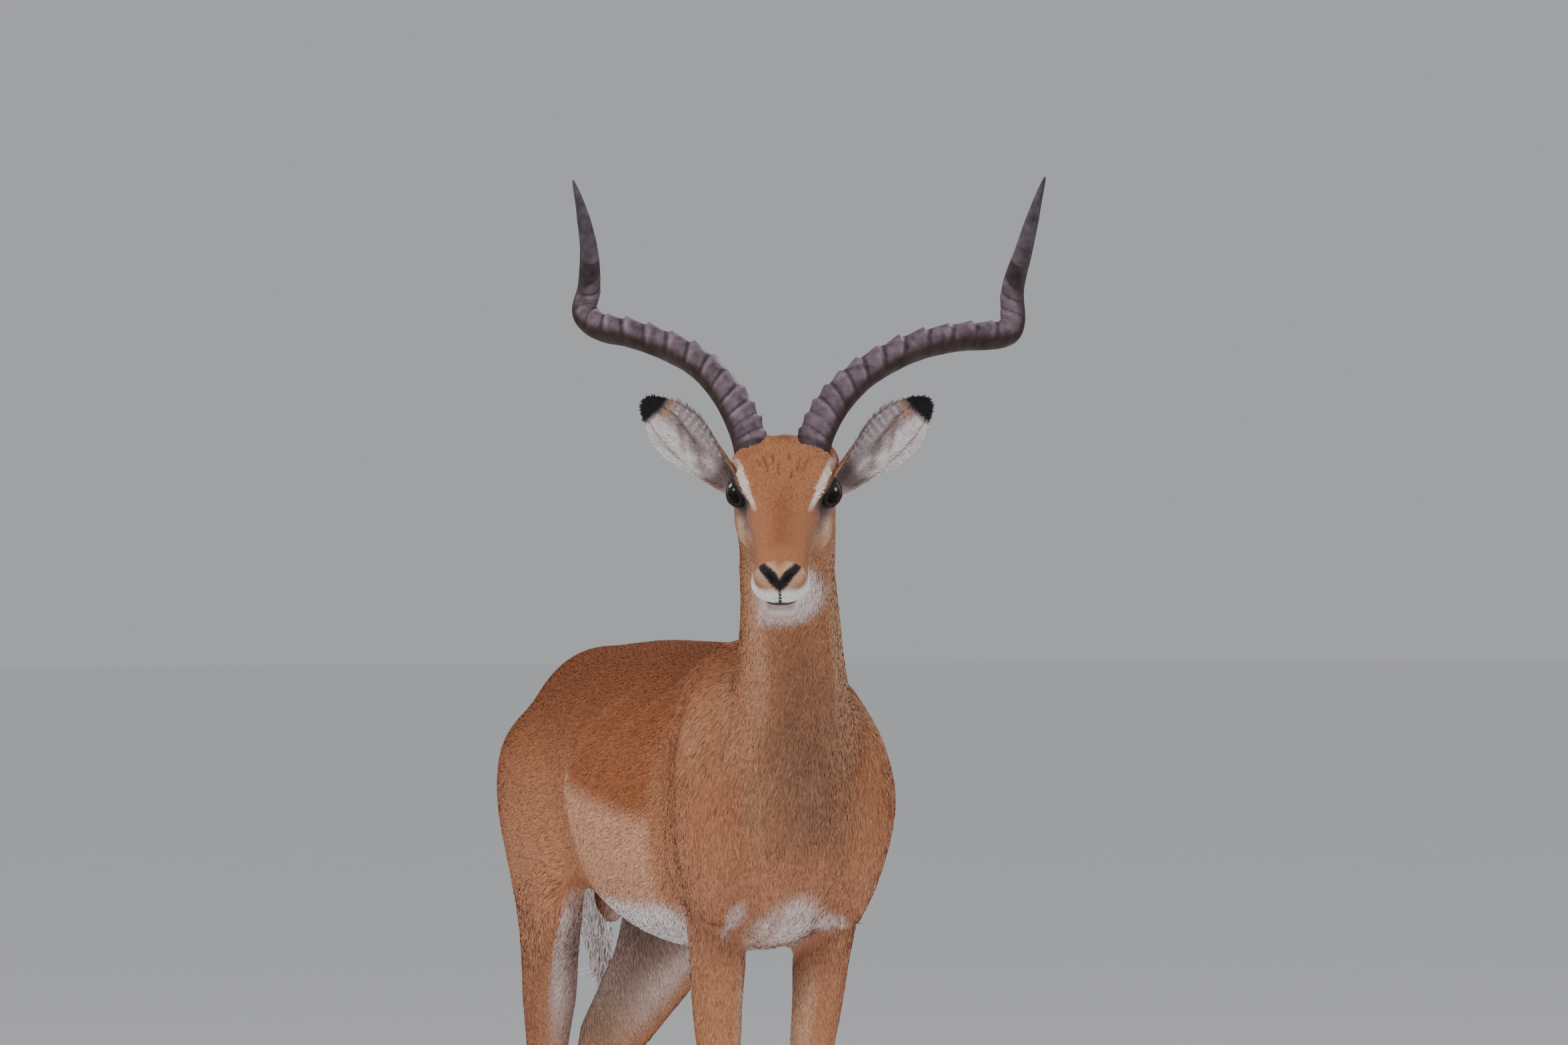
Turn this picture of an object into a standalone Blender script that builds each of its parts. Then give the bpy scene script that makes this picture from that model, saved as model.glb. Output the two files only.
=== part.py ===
"""A standing impala ram, life size, as a still museum model in closed solids.

Metres, +Z up. The body runs along Y and faces -Y, +X is the animal's left, and the head is turned
to its right. Every size is to the tips of the coat. The animal is lofted whole from named sections,
joined into one surface, and then parted by thin cuts into its named pieces. Ears, tail, horns, eyes
and claws are pieces of their own, set in sockets or against cut faces with a small gap.

The sections are worked out in a working frame whose origin lies on the floor under the breast. At
the end everything is moved so that the origin is the middle of the whole animal's footprint.
"""

import math

import bpy
import bmesh
import numpy as np
from mathutils import Matrix, Vector

# ---------------------------------------------------------------- driving dimensions
GAP = 0.0005             # between pieces that touch
CUT = 0.0007             # thickness of the cuts that part the body
VOXEL = 0.0042           # grain of the joined surface before it is simplified
HEAD_SHARE = 0.062       # share of the joined surface's triangles kept on the head
BODY_SHARE = 0.200       # share of those that are kept on the rest
FINE_SMOOTHING = 5       # smoothing steps over the whole joined surface
BLEND_SMOOTHING = 60     # and further ones where the trunk, shoulders and neck flow together

HEAD_TURN = math.radians(20)     # the head turns this far to the animal's right
CROWN_TURN = math.radians(19)  # and the horns and ears a touch less
HEAD_PITCH = math.radians(40)    # the face line slopes this far below the horizontal
NOSE_TIP = Vector((-0.123, -0.362, 0.938))
EYE_SIDE, EYE_BACK, EYE_DROP = 0.0450, 0.164, 0.0255
EYE_RADIUS = 0.0178
HORN_BACK = 0.222
HOOF_TOP = 0.040
THROAT, THROAT_FACING = Vector((-0.051, -0.157, 0.995)), Vector((-0.237, -0.729, 0.643))
SIDES = (("right", -1), ("left", 1))

# Colour and roughness.
COAT_LOOK = {
    "head": ((0.36, 0.17, 0.085), 0.8),
    "neck": ((0.33, 0.17, 0.10), 0.8),
    "trunk": ((0.34, 0.14, 0.06), 0.8),
    "leg": ((0.42, 0.22, 0.12), 0.8),
}
EAR_LOOK = ((0.30, 0.14, 0.07), 0.8)
TAIL_LOOK = ((0.75, 0.70, 0.66), 0.8)
HORN_LOOK = ((0.055, 0.042, 0.042), 0.55)
HOOF_LOOK = ((0.020, 0.018, 0.018), 0.45)
EYE_LOOK = ((0.012, 0.010, 0.010), 0.08)


# ---------------------------------------------------------------- general tools
def paint(obj, look):
    """Gives an object a material of its own, from a colour and a roughness."""
    colour, roughness = look
    made = bpy.data.materials.new(obj.name)
    made.use_nodes = True
    shader = made.node_tree.nodes["Principled BSDF"]
    shader.inputs["Base Color"].default_value = (*colour, 1)
    shader.inputs["Roughness"].default_value = roughness
    shader.inputs["Metallic"].default_value = 0
    obj.data.materials.append(made)


def shade_smooth(obj):
    for face in obj.data.polygons:
        face.use_smooth = True


def collection(name, hidden=False):
    made = bpy.data.collections.new(name)
    bpy.context.scene.collection.children.link(made)
    made.hide_render = hidden
    return made


def add_object(name, mesh, into):
    made = bpy.data.objects.new(name, mesh)
    into.objects.link(made)
    return made


def smooth_rows(rows, steps):
    """Rows of numbers with `steps` new rows in each interval, on Catmull-Rom curves through them."""
    rows = np.array(rows, float)
    padded = np.vstack([2 * rows[0] - rows[1], rows, 2 * rows[-1] - rows[-2]])
    out = []
    for i in range(1, len(padded) - 2):
        before, here, there, after = padded[i - 1 : i + 3]
        for t in np.linspace(0, 1, steps, endpoint=False):
            out.append(
                0.5
                * (
                    2 * here
                    + (there - before) * t
                    + (2 * before - 5 * here + 4 * there - after) * t**2
                    + (3 * here - before - 3 * there + after) * t**3
                )
            )
    return np.array(out + [rows[-1]])


def ramp(value, low, high):
    """0 below `low`, 1 above `high`, and an eased step between."""
    t = min(1, max(0, (value - low) / (high - low)))
    return t * t * (3 - 2 * t)


def oval(centre, side, up, half_width, half_height, square=2.0, egg=0.0, sides=24):
    """Points of a rounded section. `square` over 2 fills its corners, and `egg` over 0 widens its top."""
    points = []
    for i in range(sides):
        angle = 2 * math.pi * i / sides
        c, s = math.cos(angle), math.sin(angle)
        across = math.copysign(abs(c) ** (2 / square), c) * half_width * (1 + egg * s)
        along = math.copysign(abs(s) ** (2 / square), s) * half_height
        points.append(Vector(centre) + Vector(side) * across + Vector(up) * along)
    return points


def loft(name, rings, into):
    """A closed skin over rings of equal length, with its two ends filled."""
    count = len(rings[0])
    bm = bmesh.new()
    rows = [[bm.verts.new(p) for p in ring] for ring in rings]
    for row, following in zip(rows, rows[1:]):
        for i in range(count):
            j = (i + 1) % count
            bm.faces.new((row[i], row[j], following[j], following[i]))
    bm.faces.new(rows[0])
    bm.faces.new(rows[-1])
    bmesh.ops.recalc_face_normals(bm, faces=bm.faces)
    mesh = bpy.data.meshes.new(name)
    bm.to_mesh(mesh)
    bm.free()
    return add_object(name, mesh, into)


def ellipsoid(name, centre, radii, into, turn=Matrix.Identity(3), segments=24, rings=16):
    bm = bmesh.new()
    bmesh.ops.create_uvsphere(bm, u_segments=segments, v_segments=rings, radius=1)
    place = Matrix.Translation(centre) @ turn.to_4x4() @ Matrix.Diagonal((*radii, 1))
    bmesh.ops.transform(bm, matrix=place, verts=bm.verts)
    mesh = bpy.data.meshes.new(name)
    bm.to_mesh(mesh)
    bm.free()
    return add_object(name, mesh, into)


def tube(name, stations, side, into, sides=24, steps=5):
    """A loft across a path. A station is x, y, z, half width along `side`, and half depth."""
    rows = smooth_rows(stations, steps)
    rings = []
    for i, row in enumerate(rows):
        ahead, behind = rows[min(i + 1, len(rows) - 1)], rows[max(i - 1, 0)]
        tangent = Vector(ahead[:3] - behind[:3]).normalized()
        across = (Vector(side) - Vector(side).project(tangent)).normalized()
        deep = tangent.cross(across)
        rings.append(oval(row[:3], across, deep, row[3], row[4], sides=sides))
    return loft(name, rings, into)


def modify(obj, kind, **settings):
    made = obj.modifiers.new(kind.title(), kind)
    for key, value in settings.items():
        setattr(made, key, value)
    return made


def evaluated_mesh(obj):
    graph = bpy.context.evaluated_depsgraph_get()
    return bpy.data.meshes.new_from_object(obj.evaluated_get(graph), depsgraph=graph)


def joined(name, objects, into):
    """One object that holds the meshes of all these, which are removed."""
    bm = bmesh.new()
    for obj in objects:
        mesh = evaluated_mesh(obj)
        mesh.transform(obj.matrix_world)
        bm.from_mesh(mesh)
        bpy.data.objects.remove(obj)
    mesh = bpy.data.meshes.new(name)
    bm.to_mesh(mesh)
    bm.free()
    return add_object(name, mesh, into)


def baked(obj):
    """Replaces an object's mesh with its evaluated one, so that it can be cut again."""
    mesh = evaluated_mesh(obj)
    obj.modifiers.clear()
    obj.data = mesh
    return obj


def inflated(obj, by, into):
    """A copy grown by `by`, to cut a socket that clears the piece."""
    copy = add_object(obj.name + "_socket", obj.data.copy(), into)
    bm = bmesh.new()
    bm.from_mesh(copy.data)
    bm.normal_update()
    for vert in bm.verts:
        vert.co += vert.normal * by
    bm.to_mesh(copy.data)
    bm.free()
    return copy


def cut_away(obj, cutters):
    """Subtracts each cutter from the object, one Boolean after another."""
    for cutter in cutters:
        cutter.hide_render = True
        cutter.display_type = "WIRE"
        modify(obj, "BOOLEAN", operation="DIFFERENCE", object=cutter, solver="EXACT")
        baked(obj)


# ---------------------------------------------------------------- the trunk and neck
def trunk(into):
    #        y      top    bottom  half width  egg    square
    sections = (
        (-0.094, 0.690, 0.640, 0.020, 0.00, 2.0),
        (-0.080, 0.730, 0.592, 0.046, 0.00, 2.0),
        (-0.045, 0.790, 0.550, 0.076, 0.00, 2.0),
        (0.005, 0.838, 0.522, 0.100, -0.08, 2.2),
        (0.080, 0.864, 0.508, 0.116, -0.18, 2.2),
        (0.180, 0.858, 0.500, 0.131, -0.16, 2.2),
        (0.310, 0.858, 0.505, 0.139, -0.10, 2.2),
        (0.430, 0.858, 0.526, 0.134, -0.04, 2.2),
        (0.540, 0.853, 0.558, 0.118, 0.00, 2.2),
        (0.620, 0.850, 0.575, 0.112, -0.05, 2.1),
        (0.700, 0.846, 0.590, 0.104, -0.11, 2.0),
        (0.770, 0.820, 0.610, 0.082, -0.12, 2.0),
        (0.818, 0.785, 0.650, 0.055, 0.00, 2.0),
        (0.835, 0.750, 0.690, 0.025, 0.00, 2.0),
    )
    rings = []
    for y, top, bottom, half_width, egg, square in smooth_rows(sections, 5):
        middle = (0, y, (top + bottom) / 2)
        half_height = (top - bottom) / 2
        rings.append(oval(middle, (1, 0, 0), (0, 0, 1), half_width, half_height, square, egg, 40))
    return loft("trunk_form", rings, into)


def neck(into):
    #       x       y       z      half width  half depth
    path = (
        (0.000, 0.030, 0.575, 0.040, 0.090),
        (0.001, 0.008, 0.640, 0.062, 0.112),
        (0.001, -0.006, 0.700, 0.073, 0.114),
        (-0.002, -0.028, 0.765, 0.073, 0.104),
        (-0.013, -0.066, 0.835, 0.064, 0.087),
        (-0.029, -0.110, 0.905, 0.0590, 0.073),
        (-0.047, -0.154, 0.975, 0.0575, 0.063),
        (-0.058, -0.182, 1.022, 0.0530, 0.055),
    )
    turned = (math.cos(HEAD_TURN), -math.sin(HEAD_TURN), 0)
    return tube("neck_form", path, turned, into)


def scrotum(into):
    return ellipsoid("scrotum_form", (0.0, 0.655, 0.560), (0.024, 0.030, 0.040), into)


def shoulder(side, into):
    """The shoulder blade and upper arm, standing a little proud of the ribs."""
    blade = (
        (0.030 * side, 0.098, 0.850, 0.018, 0.036),
        (0.053 * side, 0.080, 0.800, 0.034, 0.066),
        (0.075 * side, 0.044, 0.735, 0.045, 0.080),
        (0.084 * side, 0.008, 0.680, 0.046, 0.078),
        (0.080 * side, 0.018, 0.620, 0.042, 0.076),
        (0.070 * side, 0.045, 0.560, 0.034, 0.060),
    )
    return tube("shoulder_form", blade, (1, 0, 0), into)


# ---------------------------------------------------------------- the legs
ELBOW_OUT = {"right": 0.056, "left": 0.067}


def foreleg(name, side, into):
    elbow = ELBOW_OUT[name]
    #      out      y      z      half width  half depth
    path = (
        (elbow + 0.012, 0.045, 0.620, 0.036, 0.066),
        (elbow + 0.005, 0.060, 0.560, 0.036, 0.054),
        (elbow, 0.070, 0.505, 0.0340, 0.044),
        (elbow * 0.55 + 0.0255, 0.070, 0.450, 0.0300, 0.037),
        (0.055, 0.068, 0.395, 0.0260, 0.031),
        (0.054, 0.066, 0.345, 0.0215, 0.0255),
        (0.054, 0.063, 0.310, 0.0225, 0.0250),
        (0.054, 0.064, 0.282, 0.0215, 0.0240),
        (0.054, 0.071, 0.245, 0.0160, 0.0190),
        (0.054, 0.075, 0.180, 0.0140, 0.0175),
        (0.054, 0.077, 0.125, 0.0150, 0.0190),
        (0.054, 0.075, 0.100, 0.0185, 0.0220),
        (0.054, 0.064, 0.074, 0.0165, 0.0185),
        (0.054, 0.054, 0.052, 0.0200, 0.0225),
        (0.054, 0.047, 0.030, 0.0205, 0.0245),
    )
    return tube("foreleg_form", [(x * side, *rest) for x, *rest in path], (1, 0, 0), into)


# Height, middle's distance out from the midline, middle's place along the body, half depth,
# half width, and how far the section is turned so that its front stands out, in degrees.
HIND_STANCE = {
    "right": (
        (0.785, 0.040, 0.690, 0.095, 0.034, 0),
        (0.740, 0.062, 0.680, 0.138, 0.050, 0),
        (0.690, 0.076, 0.660, 0.184, 0.053, 4),
        (0.640, 0.086, 0.640, 0.200, 0.049, 7),
        (0.585, 0.092, 0.614, 0.190, 0.044, 10),
        (0.535, 0.094, 0.598, 0.164, 0.040, 13),
        (0.485, 0.092, 0.604, 0.122, 0.036, 17),
        (0.434, 0.084, 0.632, 0.084, 0.0325, 22),
        (0.385, 0.074, 0.672, 0.058, 0.0265, 25),
        (0.345, 0.069, 0.693, 0.043, 0.0235, 25),
        (0.310, 0.067, 0.700, 0.030, 0.0225, 25),
        (0.270, 0.066, 0.702, 0.0215, 0.0170, 25),
        (0.210, 0.065, 0.704, 0.0190, 0.0148, 25),
        (0.145, 0.065, 0.706, 0.0195, 0.0150, 25),
        (0.104, 0.065, 0.704, 0.0225, 0.0185, 22),
        (0.076, 0.065, 0.690, 0.0185, 0.0165, 18),
        (0.052, 0.065, 0.677, 0.0225, 0.0200, 14),
        (0.030, 0.065, 0.670, 0.0245, 0.0205, 12),
    ),
    "left": (
        (0.785, 0.040, 0.700, 0.095, 0.034, 0),
        (0.740, 0.062, 0.695, 0.138, 0.050, 0),
        (0.690, 0.074, 0.680, 0.170, 0.053, 4),
        (0.640, 0.083, 0.668, 0.182, 0.049, 7),
        (0.585, 0.090, 0.658, 0.158, 0.043, 10),
        (0.535, 0.092, 0.672, 0.126, 0.039, 14),
        (0.485, 0.087, 0.710, 0.096, 0.036, 21),
        (0.434, 0.075, 0.771, 0.074, 0.0315, 28),
        (0.385, 0.063, 0.830, 0.062, 0.0265, 29),
        (0.345, 0.056, 0.866, 0.044, 0.0235, 29),
        (0.310, 0.053, 0.877, 0.030, 0.0225, 28),
        (0.270, 0.052, 0.879, 0.0215, 0.0170, 27),
        (0.210, 0.052, 0.882, 0.0190, 0.0148, 26),
        (0.145, 0.053, 0.886, 0.0195, 0.0150, 25),
        (0.104, 0.054, 0.886, 0.0225, 0.0185, 22),
        (0.076, 0.055, 0.874, 0.0185, 0.0165, 18),
        (0.052, 0.056, 0.863, 0.0225, 0.0200, 14),
        (0.030, 0.056, 0.856, 0.0245, 0.0205, 12),
    ),
}


def hind_leg(name, side, into):
    """Level sections from the hip to the coronet."""
    rings = []
    for z, out, along, half_depth, half_width, degrees in smooth_rows(HIND_STANCE[name], 4):
        turn = math.radians(degrees) * side
        across = (math.cos(turn), math.sin(turn), 0)
        rearward = (-math.sin(turn), math.cos(turn), 0)
        rings.append(oval((out * side, along, z), across, rearward, half_width, half_depth, 2.0, 0, 24))
    return loft("hind_leg_form", rings, into)


# The coronet's middle and how far the hoof points outward, in degrees.
CLAW_OFFSET = 0.0113     # from the middle of the hoof to the middle of each claw
TOE_IN = 0.06            # radians that each claw turns toward its neighbour
HOOVES = {
    "fore_right": (-0.054, 0.050, 4),
    "fore_left": (0.054, 0.050, 4),
    "hind_right": (-0.065, 0.674, 12),
    "hind_left": (0.056, 0.860, 12),
}


def claw(leg, place, into):
    """One claw of a cloven hoof: flat below, its front wall sloping back up to the coronet."""
    x, y, degrees = HOOVES[leg]
    side = 1 if x > 0 else -1
    sense = side if place == "outer" else -side
    turn = Matrix.Rotation(math.radians(degrees) * side, 3, "Z")
    toe_in = Matrix.Rotation(-TOE_IN * sense, 3, "Z")
    across, along = turn @ toe_in @ Vector((1, 0, 0)), turn @ toe_in @ Vector((0, 1, 0))
    #          height  front   back   half width, from the middle of the coronet
    sections = (
        (0.0000, -0.050, 0.017, 0.0100),
        (0.0060, -0.049, 0.019, 0.0106),
        (0.0240, -0.036, 0.020, 0.0102),
        (HOOF_TOP - GAP, -0.025, 0.019, 0.0092),
    )
    rings = []
    for z, front, back, half_width in sections:
        centre = Vector((x, y, z)) + turn @ Vector((sense * CLAW_OFFSET, (front + back) / 2, 0))
        rings.append(oval(centre, across, along, half_width, (back - front) / 2, 2.4, 0, 10))
    made = loft(f"claw_{leg}_{place}", rings, into)
    paint(made, HOOF_LOOK)
    return made


# ---------------------------------------------------------------- the head
def head_frame():
    """Columns: the animal's left, back along the face, and out of the face's upper line."""
    turn = Matrix.Rotation(-HEAD_TURN, 3, "Z")
    pitch = Matrix.Rotation(HEAD_PITCH, 3, "X")
    return (Matrix.Translation(NOSE_TIP) @ (turn @ pitch).to_4x4())


def on_head(side, back, up):
    return head_frame() @ Vector((side, back, up))


def jaw(into):
    """The lower lip and chin, narrower than the muzzle above, running back into the cheeks."""
    frame = head_frame().to_3x3()
    #        back    middle  half height  half width
    sections = (
        (0.001, -0.0630, 0.0085, 0.0130),
        (0.011, -0.0665, 0.0145, 0.0205),
        (0.034, -0.0670, 0.0150, 0.0220),
        (0.066, -0.0680, 0.0145, 0.0230),
        (0.105, -0.0760, 0.0160, 0.0270),
        (0.130, -0.0820, 0.0140, 0.0280),
    )
    rings = []
    for back, middle, half_height, half_width in smooth_rows(sections, 4):
        centre = on_head(0, back, middle)
        rings.append(oval(centre, frame.col[0], frame.col[2], half_width, half_height, 2.4))
    return loft("jaw_form", rings, into)


def head(into):
    frame = head_frame().to_3x3()
    #        back    top     bottom  half width  egg    square
    sections = (
        (-0.004, -0.018, -0.044, 0.0170, 0.00, 2.0),
        (0.003, -0.009, -0.054, 0.0260, 0.00, 2.1),
        (0.016, -0.002, -0.062, 0.0310, -0.04, 2.1),
        (0.036, 0.001, -0.062, 0.0315, -0.06, 2.1),
        (0.070, 0.001, -0.066, 0.0310, 0.00, 2.2),
        (0.100, 0.002, -0.078, 0.0355, 0.00, 2.2),
        (0.130, 0.003, -0.092, 0.0440, 0.00, 2.2),
        (0.160, 0.004, -0.106, 0.0520, 0.00, 2.3),
        (0.190, 0.006, -0.114, 0.0545, -0.02, 2.3),
        (0.215, 0.005, -0.112, 0.0520, -0.02, 2.2),
        (0.238, -0.004, -0.098, 0.0460, 0.00, 2.1),
        (0.258, -0.022, -0.080, 0.0340, 0.00, 2.0),
        (0.268, -0.038, -0.068, 0.0180, 0.00, 2.0),
    )
    rings = []
    for back, top, bottom, half_width, egg, square in smooth_rows(sections, 4):
        middle = on_head(0, back, (top + bottom) / 2)
        half_height = (top - bottom) / 2
        rings.append(oval(middle, frame.col[0], frame.col[2], half_width, half_height, square, egg, 28))
    made = [loft("head_form", rings, into), jaw(into)]
    poll = on_head(0, HORN_BACK - 0.010, -0.013)
    made.append(ellipsoid("poll_form", poll, (0.0480, 0.0280, 0.0160), into, frame))
    for _, side in SIDES:
        horn_root = on_head(side * 0.0235, HORN_BACK - 0.010, -0.0080)
        made.append(ellipsoid("horn_root_form", horn_root, (0.0245, 0.0250, 0.0160), into, frame))
        brow = on_head(side * 0.0375, EYE_BACK + 0.008, -0.0120)
        made.append(ellipsoid("brow_form", brow, (0.0170, 0.0340, 0.0110), into, frame))
        cheek = on_head(side * 0.0340, 0.178, -0.068)
        made.append(ellipsoid("cheek_form", cheek, (0.0235, 0.0500, 0.0370), into, frame))
        nostril = on_head(side * 0.0150, 0.010, -0.017)
        made.append(ellipsoid("nostril_form", nostril, (0.0135, 0.0160, 0.0140), into, frame))
        ear_root = on_head(side * 0.0410, 0.228, -0.039)
        made.append(ellipsoid("ear_root_form", ear_root, (0.0195, 0.0270, 0.0230), into, frame))
    return made


def eye(name, side, into):
    made = ellipsoid(name, on_head(side * EYE_SIDE, EYE_BACK, -EYE_DROP), (EYE_RADIUS,) * 3, into,
                     segments=14, rings=9)
    paint(made, EYE_LOOK)
    shade_smooth(made)
    return made


# Out from the middle of the poll, back, and up. The pair isn't quite even, as on a living animal.
HORN_PATHS = {
    "right": (
        (0.0330, 0.002, -0.026), (0.0430, 0.016, 0.010), (0.0640, 0.040, 0.049), (0.0955, 0.076, 0.082),
        (0.1300, 0.108, 0.101), (0.1710, 0.144, 0.116), (0.2080, 0.178, 0.1245), (0.2270, 0.195, 0.141),
        (0.2220, 0.196, 0.170), (0.2215, 0.167, 0.212), (0.2285, 0.140, 0.254), (0.2370, 0.121, 0.286),
    ),
    "left": (
        (0.0270, 0.000, -0.026), (0.0370, 0.012, 0.008), (0.0560, 0.032, 0.041), (0.0860, 0.062, 0.071),
        (0.1340, 0.103, 0.098), (0.1865, 0.146, 0.112), (0.2370, 0.188, 0.116), (0.2510, 0.200, 0.129),
        (0.2515, 0.199, 0.167), (0.2640, 0.170, 0.211), (0.2785, 0.140, 0.263), (0.2870, 0.127, 0.290),
    ),
}
HORN_RADII = (
    (0.00, 0.0200), (0.12, 0.0190), (0.25, 0.0168), (0.45, 0.0153), (0.62, 0.0148), (0.70, 0.0135),
    (0.80, 0.0108), (0.90, 0.0075), (0.97, 0.0036), (1.00, 0.0012),
)
RING_SPACING = ((0.00, 0.013), (0.12, 0.019), (0.25, 0.030), (0.42, 0.036), (0.56, 0.031), (0.68, 0.018), (1.00, 0.016))
RINGS_FROM, RINGS_TO = 0.05, 0.80


def horn(name, side, into, grown=0.0, length_share=1.0):
    """A ringed lyre horn. Rings stand out from it, and fade where its last part runs smooth.

    A grown, short one cuts the socket in the head.
    """
    root, turn = on_head(0, HORN_BACK, 0.004), Matrix.Rotation(-CROWN_TURN, 3, "Z")
    rows = smooth_rows(HORN_PATHS[name], 8)
    points = [root + turn @ Vector((out * side, back, up)) for out, back, up in rows]
    lengths = np.cumsum([0] + [(b - a).length for a, b in zip(points, points[1:])])
    total = lengths[-1]

    def at(along):
        return Vector([np.interp(along, lengths, [p[k] for p in points]) for k in range(3)])

    # Two rows to a ring: the foot of its slope, and its lip.
    rows, along = [], 0.0
    while along < total * min(0.975, length_share):
        share = along / total
        spacing = np.interp(share, *zip(*RING_SPACING))
        ringed = RINGS_FROM < share < RINGS_TO
        fade = min(1, (share - RINGS_FROM) / 0.05, (RINGS_TO - share) / 0.20) if ringed else 0
        for part, swell in ((0, -0.05), (0.72, 0.075)):
            rows.append((along + spacing * part, 1 + swell * fade))
        along += spacing
    if length_share == 1:
        rows.append((total, 1))
    rings, side_axis = [], turn @ Vector((side, 0, 0))
    for along, swell in rows:
        tangent = (at(along + 0.004) - at(along - 0.004)).normalized()
        side_axis = (side_axis - side_axis.project(tangent)).normalized()
        radius = np.interp(along / total, *zip(*HORN_RADII)) * swell + grown
        centre = at(along) - tangent * (grown if along == 0 else 0)
        rings.append(oval(centre, side_axis, tangent.cross(side_axis), radius, radius * 1.1, sides=10))
    made = loft("horn_" + name, rings, into)
    paint(made, HORN_LOOK)
    shade_smooth(made)
    return made


EAR_LENGTH, EAR_WIDTH, EAR_THICK = 0.139, 0.0292, 0.0040


def ear(name, side, into):
    """A cupped leaf: rolled into a tube at its root, opening forward, with a narrow tip."""
    turn = Matrix.Rotation(-CROWN_TURN, 3, "Z")
    root = on_head(side * 0.056, 0.228, -0.062)
    outward = turn @ Vector((side * 0.69, 0.30, 0.615)).normalized()
    opening = (turn @ Vector((side * 0.28, -0.94, -0.06))).normalized()
    opening = (opening - opening.project(outward)).normalized()
    across = outward.cross(opening) * side
    #          share of length, half width, roll in radians
    sections = smooth_rows(
        (
            (0.00, 0.62, 1.95),
            (0.12, 0.66, 1.75),
            (0.28, 0.88, 1.30),
            (0.45, 1.02, 1.00),
            (0.62, 0.98, 0.82),
            (0.78, 0.76, 0.72),
            (0.90, 0.46, 0.66),
            (0.97, 0.22, 0.60),
            (1.00, 0.07, 0.55),
        ),
        1,
    )
    columns = 8
    bm = bmesh.new()
    grid = []
    for share, width, roll in sections:
        radius = EAR_WIDTH * width / math.sin(min(roll, math.pi / 2)) * (0.62 if roll > 1.6 else 1)
        bend = 0.012 * math.sin(math.pi * share)
        middle = root + outward * EAR_LENGTH * share - opening * (bend - 0.010)
        row = []
        for i in range(columns):
            angle = roll * (2 * i / (columns - 1) - 1)
            point = middle + across * math.sin(angle) * radius + opening * (1 - math.cos(angle)) * radius
            row.append(bm.verts.new(point))
        grid.append(row)
    for row, following in zip(grid, grid[1:]):
        for i in range(columns - 1):
            bm.faces.new((row[i], row[i + 1], following[i + 1], following[i]))
    bmesh.ops.recalc_face_normals(bm, faces=bm.faces)
    mesh = bpy.data.meshes.new(name)
    bm.to_mesh(mesh)
    bm.free()
    made = add_object(name, mesh, into)
    modify(made, "SOLIDIFY", thickness=EAR_THICK, offset=0, use_even_offset=True)
    baked(made)
    paint(made, EAR_LOOK)
    return made


def tail(into):
    """A thin dock with a flat brush, hanging close behind the buttocks."""
    path = (
        (0.000, 0.790, 0.785, 0.016, 0.013),
        (0.003, 0.822, 0.787, 0.018, 0.013),
        (0.008, 0.850, 0.765, 0.019, 0.012),
        (0.014, 0.868, 0.710, 0.021, 0.010),
        (0.023, 0.874, 0.645, 0.024, 0.011),
        (0.034, 0.876, 0.575, 0.026, 0.012),
        (0.045, 0.874, 0.515, 0.022, 0.011),
        (0.054, 0.870, 0.462, 0.008, 0.006),
    )
    made = tube("tail", path, (1, 0, 0), into, sides=12, steps=2)
    paint(made, TAIL_LOOK)
    shade_smooth(made)
    return made


# ---------------------------------------------------------------- joining and parting
def whole_body(into):
    forms = [trunk(into), neck(into), scrotum(into), *head(into)]
    for name, side in SIDES:
        forms += [shoulder(side, into), foreleg(name, side, into), hind_leg(name, side, into)]
    body = joined("body", forms, into)
    modify(body, "REMESH", mode="VOXEL", voxel_size=VOXEL, adaptivity=0)
    modify(body, "SMOOTH", factor=0.5, iterations=FINE_SMOOTHING)
    baked(body)

    # The trunk and the root of the neck are blended more than the legs and the head.
    blend, coarse = body.vertex_groups.new(name="blend"), body.vertex_groups.new(name="coarse")
    for vert in body.data.vertices:
        z = vert.co.z
        blend.add([vert.index], ramp(z, 0.52, 0.62) * ramp(-z, -0.98, -0.90), "REPLACE")
        of_head = (vert.co - THROAT).dot(THROAT_FACING) > -0.004
        coarse.add([vert.index], 0 if of_head else 1, "REPLACE")
    modify(body, "SMOOTH", factor=0.5, iterations=BLEND_SMOOTHING, vertex_group="blend")
    modify(body, "DECIMATE", ratio=HEAD_SHARE)
    modify(body, "DECIMATE", ratio=BODY_SHARE, vertex_group="coarse", vertex_group_factor=1.0)
    return baked(body)


def plate(name, centre, normal, reach_x, reach_y, thickness, into):
    """A flat plate across a limb. Its middle plane holds `centre` and faces along `normal`."""
    bm = bmesh.new()
    bmesh.ops.create_cube(bm, size=1)
    face = Vector(normal).to_track_quat("Z", "Y").to_matrix().to_4x4()
    size = Matrix.Diagonal((2 * reach_x, 2 * reach_y, thickness, 1))
    bmesh.ops.transform(bm, matrix=Matrix.Translation(centre) @ face @ size, verts=bm.verts)
    mesh = bpy.data.meshes.new(name)
    bm.to_mesh(mesh)
    bm.free()
    return add_object(name, mesh, into)


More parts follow.
